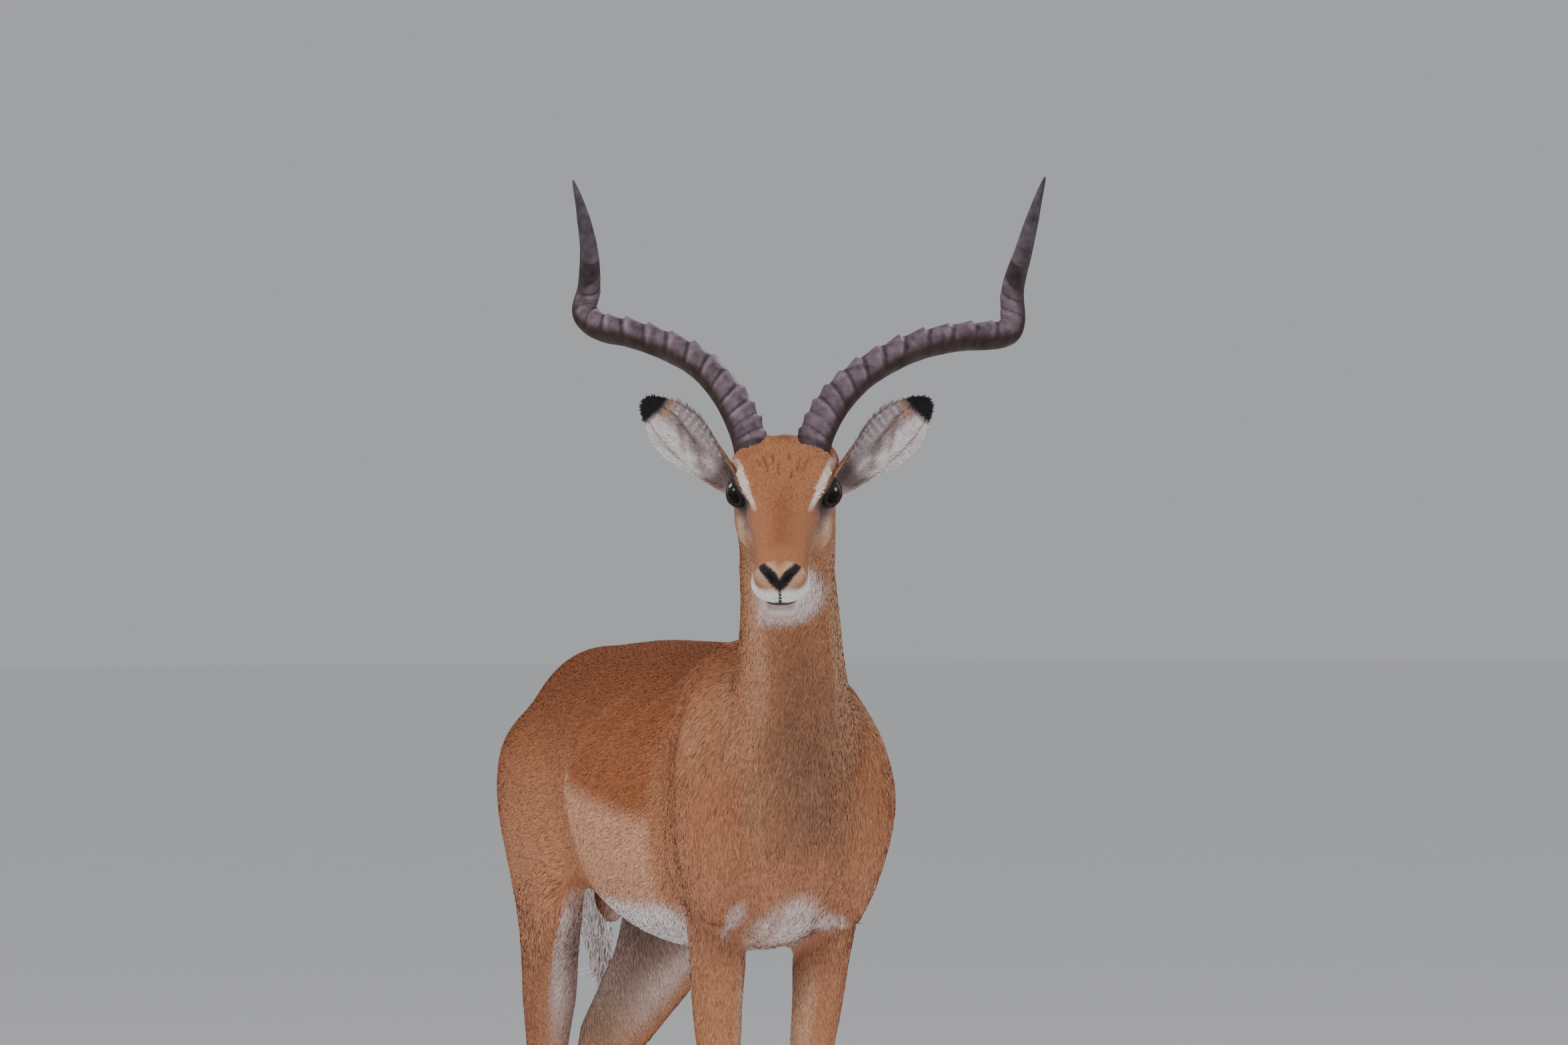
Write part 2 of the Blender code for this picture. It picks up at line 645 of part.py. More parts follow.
# Where the body is parted: a point on the cut, the way it faces, and its reach to each side.
CUTS = (
    ("throat_latch", THROAT, THROAT_FACING, 0.11, 0.11),
    ("neck_root", (0.000, -0.030, 0.780), (0, -0.70, 0.72), 0.16, 0.15),
    ("elbow_right", (-0.062, 0.070, 0.488), (0, 0, 1), 0.058, 0.070),
    ("elbow_left", (0.062, 0.070, 0.488), (0, 0, 1), 0.058, 0.070),
    ("carpus_right", (-0.054, 0.064, 0.297), (0, 0, 1), 0.045, 0.045),
    ("carpus_left", (0.054, 0.064, 0.297), (0, 0, 1), 0.045, 0.045),
    ("stifle_right", (-0.090, 0.606, 0.478), (0, 0, 1), 0.072, 0.150),
    ("stifle_left", (0.090, 0.718, 0.478), (0, 0, 1), 0.072, 0.150),
    ("hock_right", (-0.068, 0.697, 0.325), (0, 0, 1), 0.055, 0.070),
    ("hock_left", (0.055, 0.872, 0.325), (0, 0, 1), 0.050, 0.070),
)
# A point in each piece, by which it is named.
PIECES = {
    "head": (-0.08, -0.25, 1.00),
    "neck": (-0.02, -0.09, 0.88),
    "trunk": (0.00, 0.36, 0.69),
    "foreleg_right_upper": (-0.055, 0.07, 0.39),
    "foreleg_left_upper": (0.055, 0.07, 0.39),
    "foreleg_right_lower": (-0.054, 0.07, 0.17),
    "foreleg_left_lower": (0.054, 0.07, 0.17),
    "hindleg_right_upper": (-0.08, 0.64, 0.41),
    "hindleg_left_upper": (0.07, 0.80, 0.41),
    "hindleg_right_lower": (-0.065, 0.70, 0.18),
    "hindleg_left_lower": (0.055, 0.88, 0.18),
}

def loose_parts(bm):
    """The vertices of each loose part of a mesh, the largest part first."""
    seen, parts = set(), []
    for seed in bm.verts:
        if seed in seen:
            continue
        members, waiting = [], [seed]
        seen.add(seed)
        while waiting:
            vert = waiting.pop()
            members.append(vert)
            for edge in vert.link_edges:
                other = edge.other_vert(vert)
                if other not in seen:
                    seen.add(other)
                    waiting.append(other)
        parts.append(members)
    return sorted(parts, key=len, reverse=True)


def parted(body, into):
    """The body's loose parts as named objects. Crumbs that a cut leaves behind are dropped."""
    made = {}
    for name, inside in PIECES.items():
        bm = bmesh.new()
        bm.from_mesh(body.data)
        large = loose_parts(bm)[:len(PIECES)]
        middles = [sum((vert.co for vert in members), Vector()) / len(members) for members in large]
        chosen = min(range(len(large)), key=lambda i: (middles[i] - Vector(inside)).length)
        kept = set(large[chosen])
        bmesh.ops.delete(bm, geom=[vert for vert in bm.verts if vert not in kept], context="VERTS")
        bmesh.ops.dissolve_degenerate(bm, dist=1e-6, edges=bm.edges)
        mesh = bpy.data.meshes.new(name)
        bm.to_mesh(mesh)
        bm.free()
        made[name] = add_object(name, mesh, into)
        paint(made[name], COAT_LOOK["leg" if "leg" in name else name])
    bpy.data.objects.remove(body)
    return made


def largest_only(obj):
    """Drops the crumbs that a cut leaves behind."""
    bm = bmesh.new()
    bm.from_mesh(obj.data)
    for members in loose_parts(bm)[1:]:
        bmesh.ops.delete(bm, geom=members, context="VERTS")
    bm.to_mesh(obj.data)
    bm.free()


def main():
    for obj in list(bpy.data.objects):
        bpy.data.objects.remove(obj)
    parts = collection("impala")
    cutters = collection("cutters", hidden=True)

    for name, side in SIDES:
        horn(name, side, parts)
    eyes = [eye("eye_" + name, side, parts) for name, side in SIDES]
    ears = [ear("ear_" + name, side, parts) for name, side in SIDES]
    tail_piece = tail(parts)
    for leg in HOOVES:
        for place in ("outer", "inner"):
            claw(leg, place, parts)

    body = whole_body(parts)
    plates = [plate(name, at, facing, across, along, CUT, cutters) for name, at, facing, across, along in CUTS]
    floor = plate("coronets", (0, 0.4, HOOF_TOP - 0.1), (0, 0, 1), 0.4, 0.8, 0.2, cutters)
    cut_away(body, [*plates, floor])
    pieces = parted(body, parts)
    sockets = [inflated(piece, GAP, cutters) for piece in (*eyes, *ears)]
    sockets += [horn(name, side, cutters, grown=GAP, length_share=0.25) for name, side in SIDES]
    cut_away(pieces["head"], sockets)
    largest_only(pieces["head"])
    cut_away(pieces["trunk"], [inflated(tail_piece, GAP, cutters)])
    largest_only(pieces["trunk"])

    # The origin is the middle of the whole animal's footprint, on the floor.
    corners = [obj.matrix_world @ Vector(c) for obj in parts.objects for c in obj.bound_box]
    middle = [(min(c[k] for c in corners) + max(c[k] for c in corners)) / 2 for k in (0, 1)]
    for obj in (*parts.objects, *cutters.objects):
        obj.location -= Vector((*middle, 0))


main()
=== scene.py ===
"""Looks of a standing impala ram: one furred skin, ringed horns, eyes with lids, hooves, floor and light.

Metres, +Z up. Forms are laid out in the same working frame as the solids and then moved by PLACE.
The coat is made of short flat tufts that follow the lie of the hair, and each takes its colour from
the marking functions below, as the skin does.
"""

import math

import bmesh
import bpy
import numpy as np
from mathutils import Matrix, Vector


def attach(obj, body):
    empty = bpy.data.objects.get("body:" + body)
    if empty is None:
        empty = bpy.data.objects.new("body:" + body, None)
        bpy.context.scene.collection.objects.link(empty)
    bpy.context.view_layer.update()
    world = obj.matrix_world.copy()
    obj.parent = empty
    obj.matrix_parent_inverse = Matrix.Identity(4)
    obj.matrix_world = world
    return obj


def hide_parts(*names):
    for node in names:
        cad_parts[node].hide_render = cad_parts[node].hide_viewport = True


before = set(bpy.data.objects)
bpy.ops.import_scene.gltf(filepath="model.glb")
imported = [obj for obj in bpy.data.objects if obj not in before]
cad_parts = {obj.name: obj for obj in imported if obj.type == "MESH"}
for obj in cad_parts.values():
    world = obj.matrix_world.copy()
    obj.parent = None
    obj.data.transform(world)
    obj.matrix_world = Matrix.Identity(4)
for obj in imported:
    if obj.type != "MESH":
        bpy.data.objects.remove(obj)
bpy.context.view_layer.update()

PLACE = np.array((-0.0005, -0.2745, 0.0))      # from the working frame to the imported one
SEED = 11
SIDES = (("right", -1), ("left", 1))

HEAD_TURN = math.radians(20)
HEAD_PITCH = math.radians(40)
CROWN = Matrix.Rotation(math.radians(-19), 3, "Z")       # turn of the horns and ears with the head
NOSE_TIP = Vector((-0.123, -0.362, 0.938))
EYE_RADIUS = 0.0178

# Places in the head's own axes: side, back from the nose along the face, and out of the face.
EYE_SIDE, EYE_BACK, EYE_UP = 0.0450, 0.164, -0.0255
EYE_CENTRE = np.array((EYE_SIDE, EYE_BACK, EYE_UP))
HORN_BACK = 0.222
HORN_MIDDLE = (0, HORN_BACK, 0.004)


# ---------------- shaping tools
def collection(name):
    """A new collection, shown in the scene."""
    made = bpy.data.collections.new(name)
    bpy.context.scene.collection.children.link(made)
    return made


LOOKS = collection("impala_looks")


def linked(name, data):
    """A new object, shown in the scene."""
    made = bpy.data.objects.new(name, data)
    LOOKS.objects.link(made)
    return made


def add_mesh(name, verts, faces):
    """An object with these faces, facing out and shaded smoothly."""
    mesh = bpy.data.meshes.new(name)
    mesh.from_pydata([tuple(v) for v in verts], [], faces)
    mesh.update()
    mesh.shade_smooth()
    made = linked(name, mesh)
    face_out(made)
    return made


def smooth_rows(rows, steps):
    """Rows of numbers with `steps` new rows in each interval, on Catmull-Rom curves through them."""
    rows = np.array(rows, float)
    padded = np.vstack([2 * rows[0] - rows[1], rows, 2 * rows[-1] - rows[-2]])
    out = []
    for i in range(1, len(padded) - 2):
        before, here, there, after = padded[i - 1 : i + 3]
        for t in np.linspace(0, 1, steps, endpoint=False):
            bend = 2 * before - 5 * here + 4 * there - after
            twist = 3 * here - before - 3 * there + after
            out.append(0.5 * (2 * here + (there - before) * t + bend * t**2 + twist * t**3))
    return np.array(out + [rows[-1]])


def ramp(value, low, high):
    """0 below `low`, 1 above `high`, and an eased step between. Takes numbers or arrays."""
    t = np.clip((value - low) / (high - low), 0, 1)
    return t * t * (3 - 2 * t)


def fall(value, low, high):
    """1 below `low`, 0 above `high`, and an eased step between."""
    return ramp(-value, -high, -low)


def window(value, rise_low, rise_high, fall_low, fall_high):
    """0, rising to 1 over the first two values, and falling to 0 over the last two."""
    return ramp(value, rise_low, rise_high) * fall(value, fall_low, fall_high)


def bump(value, middle, reach):
    """1 at `middle`, easing to 0 at `reach` to either side."""
    return 1 - ramp(np.abs(value - middle), 0, reach)


def bell(distance, reach):
    """1 at no distance, and a third of that at `reach`."""
    return np.exp(-((distance / reach) ** 2))


def oval(centre, side, up, half_width, half_height, square=2.0, egg=0.0, sides=24):
    """Points of a rounded section. `square` over 2 fills its corners, and `egg` over 0 widens its top."""
    angles = np.arange(sides) * 2 * math.pi / sides
    c, s = np.cos(angles), np.sin(angles)
    across = np.copysign(np.abs(c) ** (2 / square), c) * half_width * (1 + egg * s)
    along = np.copysign(np.abs(s) ** (2 / square), s) * half_height
    return np.array(centre) + np.outer(across, side) + np.outer(along, up)


def ring_faces(rows, count, closed=True):
    """Quads between rows of `count` points, round each row when it is closed."""
    faces = []
    for row in range(rows - 1):
        for i in range(count if closed else count - 1):
            j = (i + 1) % count
            a, b = row * count, (row + 1) * count
            faces.append((a + i, a + j, b + j, b + i))
    return faces


def loft(name, rings):
    """A closed skin over rings of equal length, with its two ends filled, facing out."""
    count, rows = len(rings[0]), len(rings)
    faces = ring_faces(rows, count)
    faces.append(tuple(range(count)))
    faces.append(tuple((rows - 1) * count + i for i in range(count)))
    return add_mesh(name, np.vstack(rings), faces)


def face_out(obj):
    """Turns every face of a closed mesh outward."""
    bm = bmesh.new()
    bm.from_mesh(obj.data)
    bmesh.ops.recalc_face_normals(bm, faces=bm.faces)
    bm.to_mesh(obj.data)
    bm.free()


def ellipsoid(name, centre, radii, turn=Matrix.Identity(3), segments=24, rings=16):
    """A ball stretched to three radii, which lie along the columns of `turn`."""
    bm = bmesh.new()
    bmesh.ops.create_uvsphere(bm, u_segments=segments, v_segments=rings, radius=1)
    place = Matrix.Translation(centre) @ turn.to_4x4() @ Matrix.Diagonal((*radii, 1))
    bmesh.ops.transform(bm, matrix=place, verts=bm.verts)
    mesh = bpy.data.meshes.new(name)
    bm.to_mesh(mesh)
    bm.free()
    mesh.shade_smooth()
    return linked(name, mesh)


def tube(name, stations, side, sides=24, steps=5):
    """A loft across a path. A station is x, y, z, half width along `side`, and half depth."""
    rows = smooth_rows(stations, steps)
    rings = []
    for i, row in enumerate(rows):
        ahead, behind = rows[min(i + 1, len(rows) - 1)], rows[max(i - 1, 0)]
        tangent = Vector(ahead[:3] - behind[:3]).normalized()
        across = (Vector(side) - Vector(side).project(tangent)).normalized()
        deep = tangent.cross(across)
        rings.append(oval(row[:3], across, deep, row[3], row[4], sides=sides))
    return loft(name, rings)


def modify(obj, kind, **settings):
    """Adds a modifier with these settings."""
    made = obj.modifiers.new(kind.title(), kind)
    for key, value in settings.items():
        setattr(made, key, value)


def baked(obj):
    """Replaces an object's mesh with its evaluated one."""
    graph = bpy.context.evaluated_depsgraph_get()
    mesh = bpy.data.meshes.new_from_object(obj.evaluated_get(graph), depsgraph=graph)
    obj.modifiers.clear()
    obj.data = mesh


def triangulated(obj):
    """Parts the faces of an object into triangles."""
    modify(obj, "TRIANGULATE")
    baked(obj)


def joined(name, objects):
    """One object that holds the meshes of all these, which are removed."""
    bm = bmesh.new()
    for obj in objects:
        bm.from_mesh(obj.data)
        bpy.data.objects.remove(obj)
    mesh = bpy.data.meshes.new(name)
    bm.to_mesh(mesh)
    bm.free()
    return linked(name, mesh)


def read_rows(items, field, width, kind=np.float32):
    """One field of every item, as rows of `width` numbers."""
    out = np.empty(len(items) * width, kind)
    items.foreach_get(field, out)
    return out.reshape(-1, width)


def points_of(mesh):
    """Places of the vertices."""
    return read_rows(mesh.vertices, "co", 3, float)


def normals_of(mesh):
    """Which way the surface faces at each vertex."""
    return read_rows(mesh.vertex_normals, "vector", 3).astype(float)


def edges_of(mesh):
    """The two vertices of each edge."""
    return read_rows(mesh.edges, "vertices", 2, np.int32)


def triangles_of(mesh):
    """The three vertices of each face, in a mesh made only of triangles."""
    return read_rows(mesh.loops, "vertex_index", 1, np.int32).reshape(-1, 3)


def shape_of(mesh):
    """Points, normals and triangles."""
    return points_of(mesh), normals_of(mesh), triangles_of(mesh)


def put_points(mesh, points):
    """Moves the vertices to these places."""
    mesh.vertices.foreach_set("co", np.asarray(points, np.float32).ravel())
    mesh.update()


def unit(vectors):
    """The same directions with length 1."""
    vectors = np.asarray(vectors, float)
    return vectors / np.maximum(np.linalg.norm(vectors, axis=-1, keepdims=True), 1e-9)


def moved(points):
    """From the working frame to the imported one."""
    return np.asarray(points, float) + PLACE


# ---------------- the forms of the body, to the coat's tips
def upright_section(middle, axes, height, shape, sides):
    """A section that stands up along the third of `axes`. Its shape is half width, egg and square."""
    half_width, egg, square = shape
    return oval(middle, axes[:, 0], axes[:, 2], half_width, height / 2, square, egg, sides)


def trunk():
    """Barrel, chest and rump in one form."""
    #        y      top    bottom  half width  egg    square
    sections = (
        (-0.094, 0.690, 0.640, 0.020, 0.00, 2.0),
        (-0.080, 0.730, 0.592, 0.046, 0.00, 2.0),
        (-0.045, 0.790, 0.550, 0.076, 0.00, 2.0),
        (0.005, 0.838, 0.522, 0.100, -0.08, 2.2),
        (0.080, 0.864, 0.508, 0.116, -0.18, 2.2),
        (0.180, 0.858, 0.500, 0.131, -0.16, 2.2),
        (0.310, 0.858, 0.505, 0.139, -0.10, 2.2),
        (0.430, 0.858, 0.526, 0.134, -0.04, 2.2),
        (0.540, 0.853, 0.558, 0.118, 0.00, 2.2),
        (0.620, 0.850, 0.575, 0.112, -0.05, 2.1),
        (0.700, 0.846, 0.590, 0.104, -0.11, 2.0),
        (0.770, 0.820, 0.610, 0.082, -0.12, 2.0),
        (0.818, 0.785, 0.650, 0.055, 0.00, 2.0),
        (0.835, 0.750, 0.690, 0.025, 0.00, 2.0),
    )
    rings = []
    for y, top, bottom, *shape in smooth_rows(sections, 5):
        rings.append(upright_section((0, y, (top + bottom) / 2), np.eye(3), top - bottom, shape, 40))
    return loft("trunk_form", rings)


def neck():
    """From the withers up to the throat, turning with the head."""
    #       x       y       z      half width  half depth
    path = (
        (0.000, 0.030, 0.575, 0.040, 0.090),
        (0.001, 0.008, 0.640, 0.062, 0.112),
        (0.001, -0.006, 0.700, 0.073, 0.114),
        (-0.002, -0.028, 0.765, 0.073, 0.104),
        (-0.013, -0.066, 0.835, 0.064, 0.087),
        (-0.029, -0.110, 0.905, 0.0590, 0.073),
        (-0.047, -0.154, 0.975, 0.0575, 0.063),
        (-0.058, -0.182, 1.022, 0.0530, 0.055),
    )
    turned = (math.cos(HEAD_TURN), -math.sin(HEAD_TURN), 0)
    return tube("neck_form", path, turned)


def scrotum():
    """A plain egg between the thighs."""
    return ellipsoid("scrotum_form", (0.0, 0.655, 0.560), (0.024, 0.030, 0.040))


def shoulder(side):
    """The shoulder blade and upper arm, standing a little proud of the ribs."""
    blade = (
        (0.030 * side, 0.098, 0.850, 0.018, 0.036),
        (0.053 * side, 0.080, 0.800, 0.034, 0.066),
        (0.075 * side, 0.044, 0.735, 0.045, 0.080),
        (0.084 * side, 0.008, 0.680, 0.046, 0.078),
        (0.080 * side, 0.018, 0.620, 0.042, 0.076),
        (0.070 * side, 0.045, 0.560, 0.034, 0.060),
    )
    return tube("shoulder_form", blade, (1, 0, 0))


# ---------------- the legs
ELBOW_OUT = {"right": 0.056, "left": 0.067}


def foreleg(name, side):
    """From inside the chest down to the coronet."""
    elbow = ELBOW_OUT[name]
    #      out      y      z      half width  half depth
    path = (
        (elbow + 0.012, 0.045, 0.620, 0.036, 0.066),
        (elbow + 0.005, 0.060, 0.560, 0.036, 0.054),
        (elbow, 0.070, 0.505, 0.0340, 0.044),
        (elbow * 0.55 + 0.0255, 0.070, 0.450, 0.0300, 0.037),
        (0.055, 0.068, 0.395, 0.0260, 0.031),
        (0.054, 0.066, 0.345, 0.0215, 0.0255),
        (0.054, 0.063, 0.310, 0.0225, 0.0250),
        (0.054, 0.064, 0.282, 0.0215, 0.0240),
        (0.054, 0.071, 0.245, 0.0160, 0.0190),
        (0.054, 0.075, 0.180, 0.0140, 0.0175),
        (0.054, 0.077, 0.125, 0.0150, 0.0190),
        (0.054, 0.075, 0.100, 0.0185, 0.0220),
        (0.054, 0.064, 0.074, 0.0165, 0.0185),
        (0.054, 0.054, 0.052, 0.0200, 0.0225),
        (0.054, 0.047, 0.030, 0.0205, 0.0245),
    )
    return tube("foreleg_form", [(x * side, *rest) for x, *rest in path], (1, 0, 0))


# Height, middle's distance out from the midline, middle's place along the body, half depth,
# half width, and how far the section is turned so that its front stands out, in degrees.
HIND_STANCE = {
    "right": (
        (0.785, 0.040, 0.690, 0.095, 0.034, 0),
        (0.740, 0.062, 0.680, 0.138, 0.050, 0),
        (0.690, 0.076, 0.660, 0.184, 0.053, 4),
        (0.640, 0.086, 0.640, 0.200, 0.049, 7),
        (0.585, 0.092, 0.614, 0.190, 0.044, 10),
        (0.535, 0.094, 0.598, 0.164, 0.040, 13),
        (0.485, 0.092, 0.604, 0.122, 0.036, 17),
        (0.434, 0.084, 0.632, 0.084, 0.0325, 22),
        (0.385, 0.074, 0.672, 0.058, 0.0265, 25),
        (0.345, 0.069, 0.693, 0.043, 0.0235, 25),
        (0.310, 0.067, 0.700, 0.030, 0.0225, 25),
        (0.270, 0.066, 0.702, 0.0215, 0.0170, 25),
        (0.210, 0.065, 0.704, 0.0190, 0.0148, 25),
        (0.145, 0.065, 0.706, 0.0195, 0.0150, 25),
        (0.104, 0.065, 0.704, 0.0225, 0.0185, 22),
        (0.076, 0.065, 0.690, 0.0185, 0.0165, 18),
        (0.052, 0.065, 0.677, 0.0225, 0.0200, 14),
        (0.030, 0.065, 0.670, 0.0245, 0.0205, 12),
    ),
    "left": (
        (0.785, 0.040, 0.700, 0.095, 0.034, 0),
        (0.740, 0.062, 0.695, 0.138, 0.050, 0),
        (0.690, 0.074, 0.680, 0.170, 0.053, 4),
        (0.640, 0.083, 0.668, 0.182, 0.049, 7),
        (0.585, 0.090, 0.658, 0.158, 0.043, 10),
        (0.535, 0.092, 0.672, 0.126, 0.039, 14),
        (0.485, 0.087, 0.710, 0.096, 0.036, 21),
        (0.434, 0.075, 0.771, 0.074, 0.0315, 28),
        (0.385, 0.063, 0.830, 0.062, 0.0265, 29),
        (0.345, 0.056, 0.866, 0.044, 0.0235, 29),
        (0.310, 0.053, 0.877, 0.030, 0.0225, 28),
        (0.270, 0.052, 0.879, 0.0215, 0.0170, 27),
        (0.210, 0.052, 0.882, 0.0190, 0.0148, 26),
        (0.145, 0.053, 0.886, 0.0195, 0.0150, 25),
        (0.104, 0.054, 0.886, 0.0225, 0.0185, 22),
        (0.076, 0.055, 0.874, 0.0185, 0.0165, 18),
        (0.052, 0.056, 0.863, 0.0225, 0.0200, 14),
        (0.030, 0.056, 0.856, 0.0245, 0.0205, 12),
    ),
}


def hind_leg(name, side):
    """Level sections from the hip to the coronet."""
    rings = []
    for z, out, along, half_depth, half_width, degrees in smooth_rows(HIND_STANCE[name], 4):
        turn = math.radians(degrees) * side
        across = (math.cos(turn), math.sin(turn), 0)
        rearward = (-math.sin(turn), math.cos(turn), 0)
        rings.append(oval((out * side, along, z), across, rearward, half_width, half_depth))
    return loft("hind_leg_form", rings)


# ---------------- the head
def head_frame():
    """Columns: the animal's left, back along the face, and out of the face's upper line."""
    turn = Matrix.Rotation(-HEAD_TURN, 3, "Z")
    pitch = Matrix.Rotation(HEAD_PITCH, 3, "X")
    return Matrix.Translation(NOSE_TIP) @ (turn @ pitch).to_4x4()


def on_head(side, back, up):
    """A place in the head's own axes, in the working frame."""
    return head_frame() @ Vector((side, back, up))


def head_axes():
    """The head's own axes as columns."""
    return head_frame().to_3x3()


def head_coordinates(points):
    """Side, back and up in the head's own axes. Side is positive on the animal's left."""
    inverse = np.array(head_frame().inverted())
    return points @ inverse[:3, :3].T + inverse[:3, 3]


def off_head(head_points):
    """The way back from the head's own axes to the working frame."""
    axes = np.array(head_frame())
    return head_points @ axes[:3, :3].T + axes[:3, 3]


def jaw():
    """The lower lip and chin, narrower than the muzzle above, running back into the cheeks."""
    axes = head_axes()
    #        back    middle  half height  half width
    sections = (
        (0.001, -0.0630, 0.0085, 0.0130),
        (0.011, -0.0665, 0.0145, 0.0205),
        (0.034, -0.0670, 0.0150, 0.0220),
        (0.066, -0.0680, 0.0145, 0.0230),
        (0.105, -0.0760, 0.0160, 0.0270),
        (0.130, -0.0820, 0.0140, 0.0280),
    )
    rings = []
    for back, middle, half_height, half_width in smooth_rows(sections, 4):
        centre = on_head(0, back, middle)
        rings.append(oval(centre, axes.col[0], axes.col[2], half_width, half_height, 2.4))
    return loft("jaw_form", rings)


def pedicle(name, side):
    """The haired rise of the forehead round the foot of a horn."""
    foot, above = (CROWN @ Vector(np.array(HORN_PATHS[name][i]) * (side, 1, 1)) for i in (0, 1))
    axis = (above - foot).normalized()
    upright = axis.to_track_quat("Z", "Y").to_matrix()
    centre = on_head(*HORN_MIDDLE) + foot + axis * 0.003
    return ellipsoid("pedicle_" + name, centre, (0.0262, 0.0262, 0.0165), upright)


# Forms on each half of the head: place of the middle, and radii, each as side, back and up.
HEAD_LUMPS = {
    "horn_root": ((0.0235, HORN_BACK - 0.010, -0.0080), (0.0245, 0.0250, 0.0160)),
    "brow": ((0.0375, EYE_BACK + 0.008, -0.0120), (0.0170, 0.0340, 0.0110)),
    "cheek": ((0.0340, 0.178, -0.068), (0.0235, 0.0500, 0.0370)),
    "nostril": ((0.0150, 0.010, -0.017), (0.0135, 0.0160, 0.0140)),
    "ear_root": ((0.0410, 0.228, -0.039), (0.0195, 0.0270, 0.0230)),
}


def head():
    """Skull and muzzle, jaw, poll, and the lumps of each half."""
    axes = head_axes()
    #        back    top     bottom  half width  egg    square
    sections = (
        (-0.004, -0.018, -0.044, 0.0170, 0.00, 2.0),
        (0.003, -0.009, -0.054, 0.0260, 0.00, 2.1),
        (0.016, -0.002, -0.062, 0.0310, -0.04, 2.1),
        (0.036, 0.001, -0.062, 0.0315, -0.06, 2.1),
        (0.070, 0.001, -0.066, 0.0310, 0.00, 2.2),
        (0.100, 0.002, -0.078, 0.0355, 0.00, 2.2),
        (0.130, 0.003, -0.092, 0.0440, 0.00, 2.2),
        (0.160, 0.004, -0.106, 0.0520, 0.00, 2.3),
        (0.190, 0.006, -0.114, 0.0545, -0.02, 2.3),
        (0.215, 0.005, -0.112, 0.0520, -0.02, 2.2),
        (0.238, -0.004, -0.098, 0.0460, 0.00, 2.1),
        (0.258, -0.022, -0.080, 0.0340, 0.00, 2.0),
        (0.268, -0.038, -0.068, 0.0180, 0.00, 2.0),
    )
    rings = []
    for back, top, bottom, *shape in smooth_rows(sections, 4):
        middle = on_head(0, back, (top + bottom) / 2)
        rings.append(upright_section(middle, np.array(axes), top - bottom, shape, 28))
    made = [loft("head_form", rings), jaw()]
    poll = on_head(0, HORN_BACK - 0.010, -0.013)
    made.append(ellipsoid("poll_form", poll, (0.0480, 0.0280, 0.0160), axes))
    for _, side in SIDES:
        for lump, ((out, back, up), radii) in HEAD_LUMPS.items():
            made.append(ellipsoid(lump + "_form", on_head(side * out, back, up), radii, axes))
    return made


# ---------------- the skin's shape
SKIN_VOXEL = 0.0042
FINE_SMOOTHING, BLEND_SMOOTHING = 5, 60
SKIN_SHARE = 0.40            # share of the triangles kept, the most where the form bends most
BODY_DEPTH, LEG_DEPTH, FACE_DEPTH = 0.0040, 0.0022, 0.0018     # of the coat over the skin
THROAT, THROAT_FACING = np.array((-0.051, -0.157, 0.995)), np.array((-0.237, -0.729, 0.643))
EYES = {name: np.array(on_head(side * EYE_SIDE, EYE_BACK, EYE_UP)) for name, side in SIDES}

# Raised lines on both flanks, as y and z down the line, then height and half width.
BODY_RIDGES = (
    (((0.110, 0.845), (0.082, 0.790), (0.066, 0.730), (0.060, 0.660), (0.066, 0.600)), 0.0040, 0.012),
    (((0.030, 0.800), (0.004, 0.740), (-0.012, 0.680), (0.004, 0.620)), 0.0030, 0.014),
    (((0.110, 0.820), (0.190, 0.775), (0.255, 0.742), (0.292, 0.695), (0.300, 0.655)), 0.0026, 0.011),
    (((0.250, 0.800), (0.330, 0.760), (0.385, 0.710), (0.400, 0.660)), 0.0022, 0.012),
    (((0.560, 0.835), (0.500, 0.760), (0.465, 0.680), (0.470, 0.600)), 0.0036, 0.016),
)
FLANK_HOLLOW = (0.505, 0.735, 0.055, -0.0065)
RIB_SPACING, RIB_HEIGHT = 0.030, 0.0007
THROAT_CORD, CANNON_GROOVE = 0.0016, 0.0022

# Each cannon: its middle's x and y, and the heights that its groove runs between.
CANNONS = (
    (0.054, 0.074, 0.115, 0.265), (-0.054, 0.074, 0.115, 0.265),
    (-0.065, 0.705, 0.115, 0.285), (0.052, 0.884, 0.115, 0.285),
)
FAR = 9.0                    # farther than anything here


def headward(points):
    """Distance ahead of the plane where the head joins the neck."""
    return (points - THROAT) @ THROAT_FACING


def relaxed(points, edges, weights, steps):
    """Points eased toward the mean of their neighbours."""
    count = len(points)
    degree = np.bincount(edges.ravel(), minlength=count)[:, None]
    for _ in range(steps):
        total = np.empty_like(points)
        for k in range(3):
            total[:, k] = np.bincount(edges[:, 0], points[edges[:, 1], k], count)
            total[:, k] += np.bincount(edges[:, 1], points[edges[:, 0], k], count)
        points = points + (total / np.maximum(degree, 1) - points) * 0.5 * weights[:, None]
    return points


def refine(obj, chosen):
    """Halves the grain of the mesh where `chosen` says so of its points."""
    bm = bmesh.new()
    bm.from_mesh(obj.data)
    bm.verts.ensure_lookup_table()
    inside = chosen(np.array([vert.co[:] for vert in bm.verts]))
    edges = [edge for edge in bm.edges if inside[edge.verts[0].index] and inside[edge.verts[1].index]]
    bmesh.ops.subdivide_edges(bm, edges=edges, cuts=1, use_grid_fill=True)
    bm.to_mesh(obj.data)
    bm.free()


def face_front(points, reach):
    """Where the face lies within `reach` of the nose."""
    return (head_coordinates(points)[:, 1] < reach) & (headward(points) > 0.02)


def near_eye(points, reach):
    """Where a point lies within `reach` of the middle of an eye."""
    return np.minimum(*(np.linalg.norm(points - eye, axis=1) for eye in EYES.values())) < reach


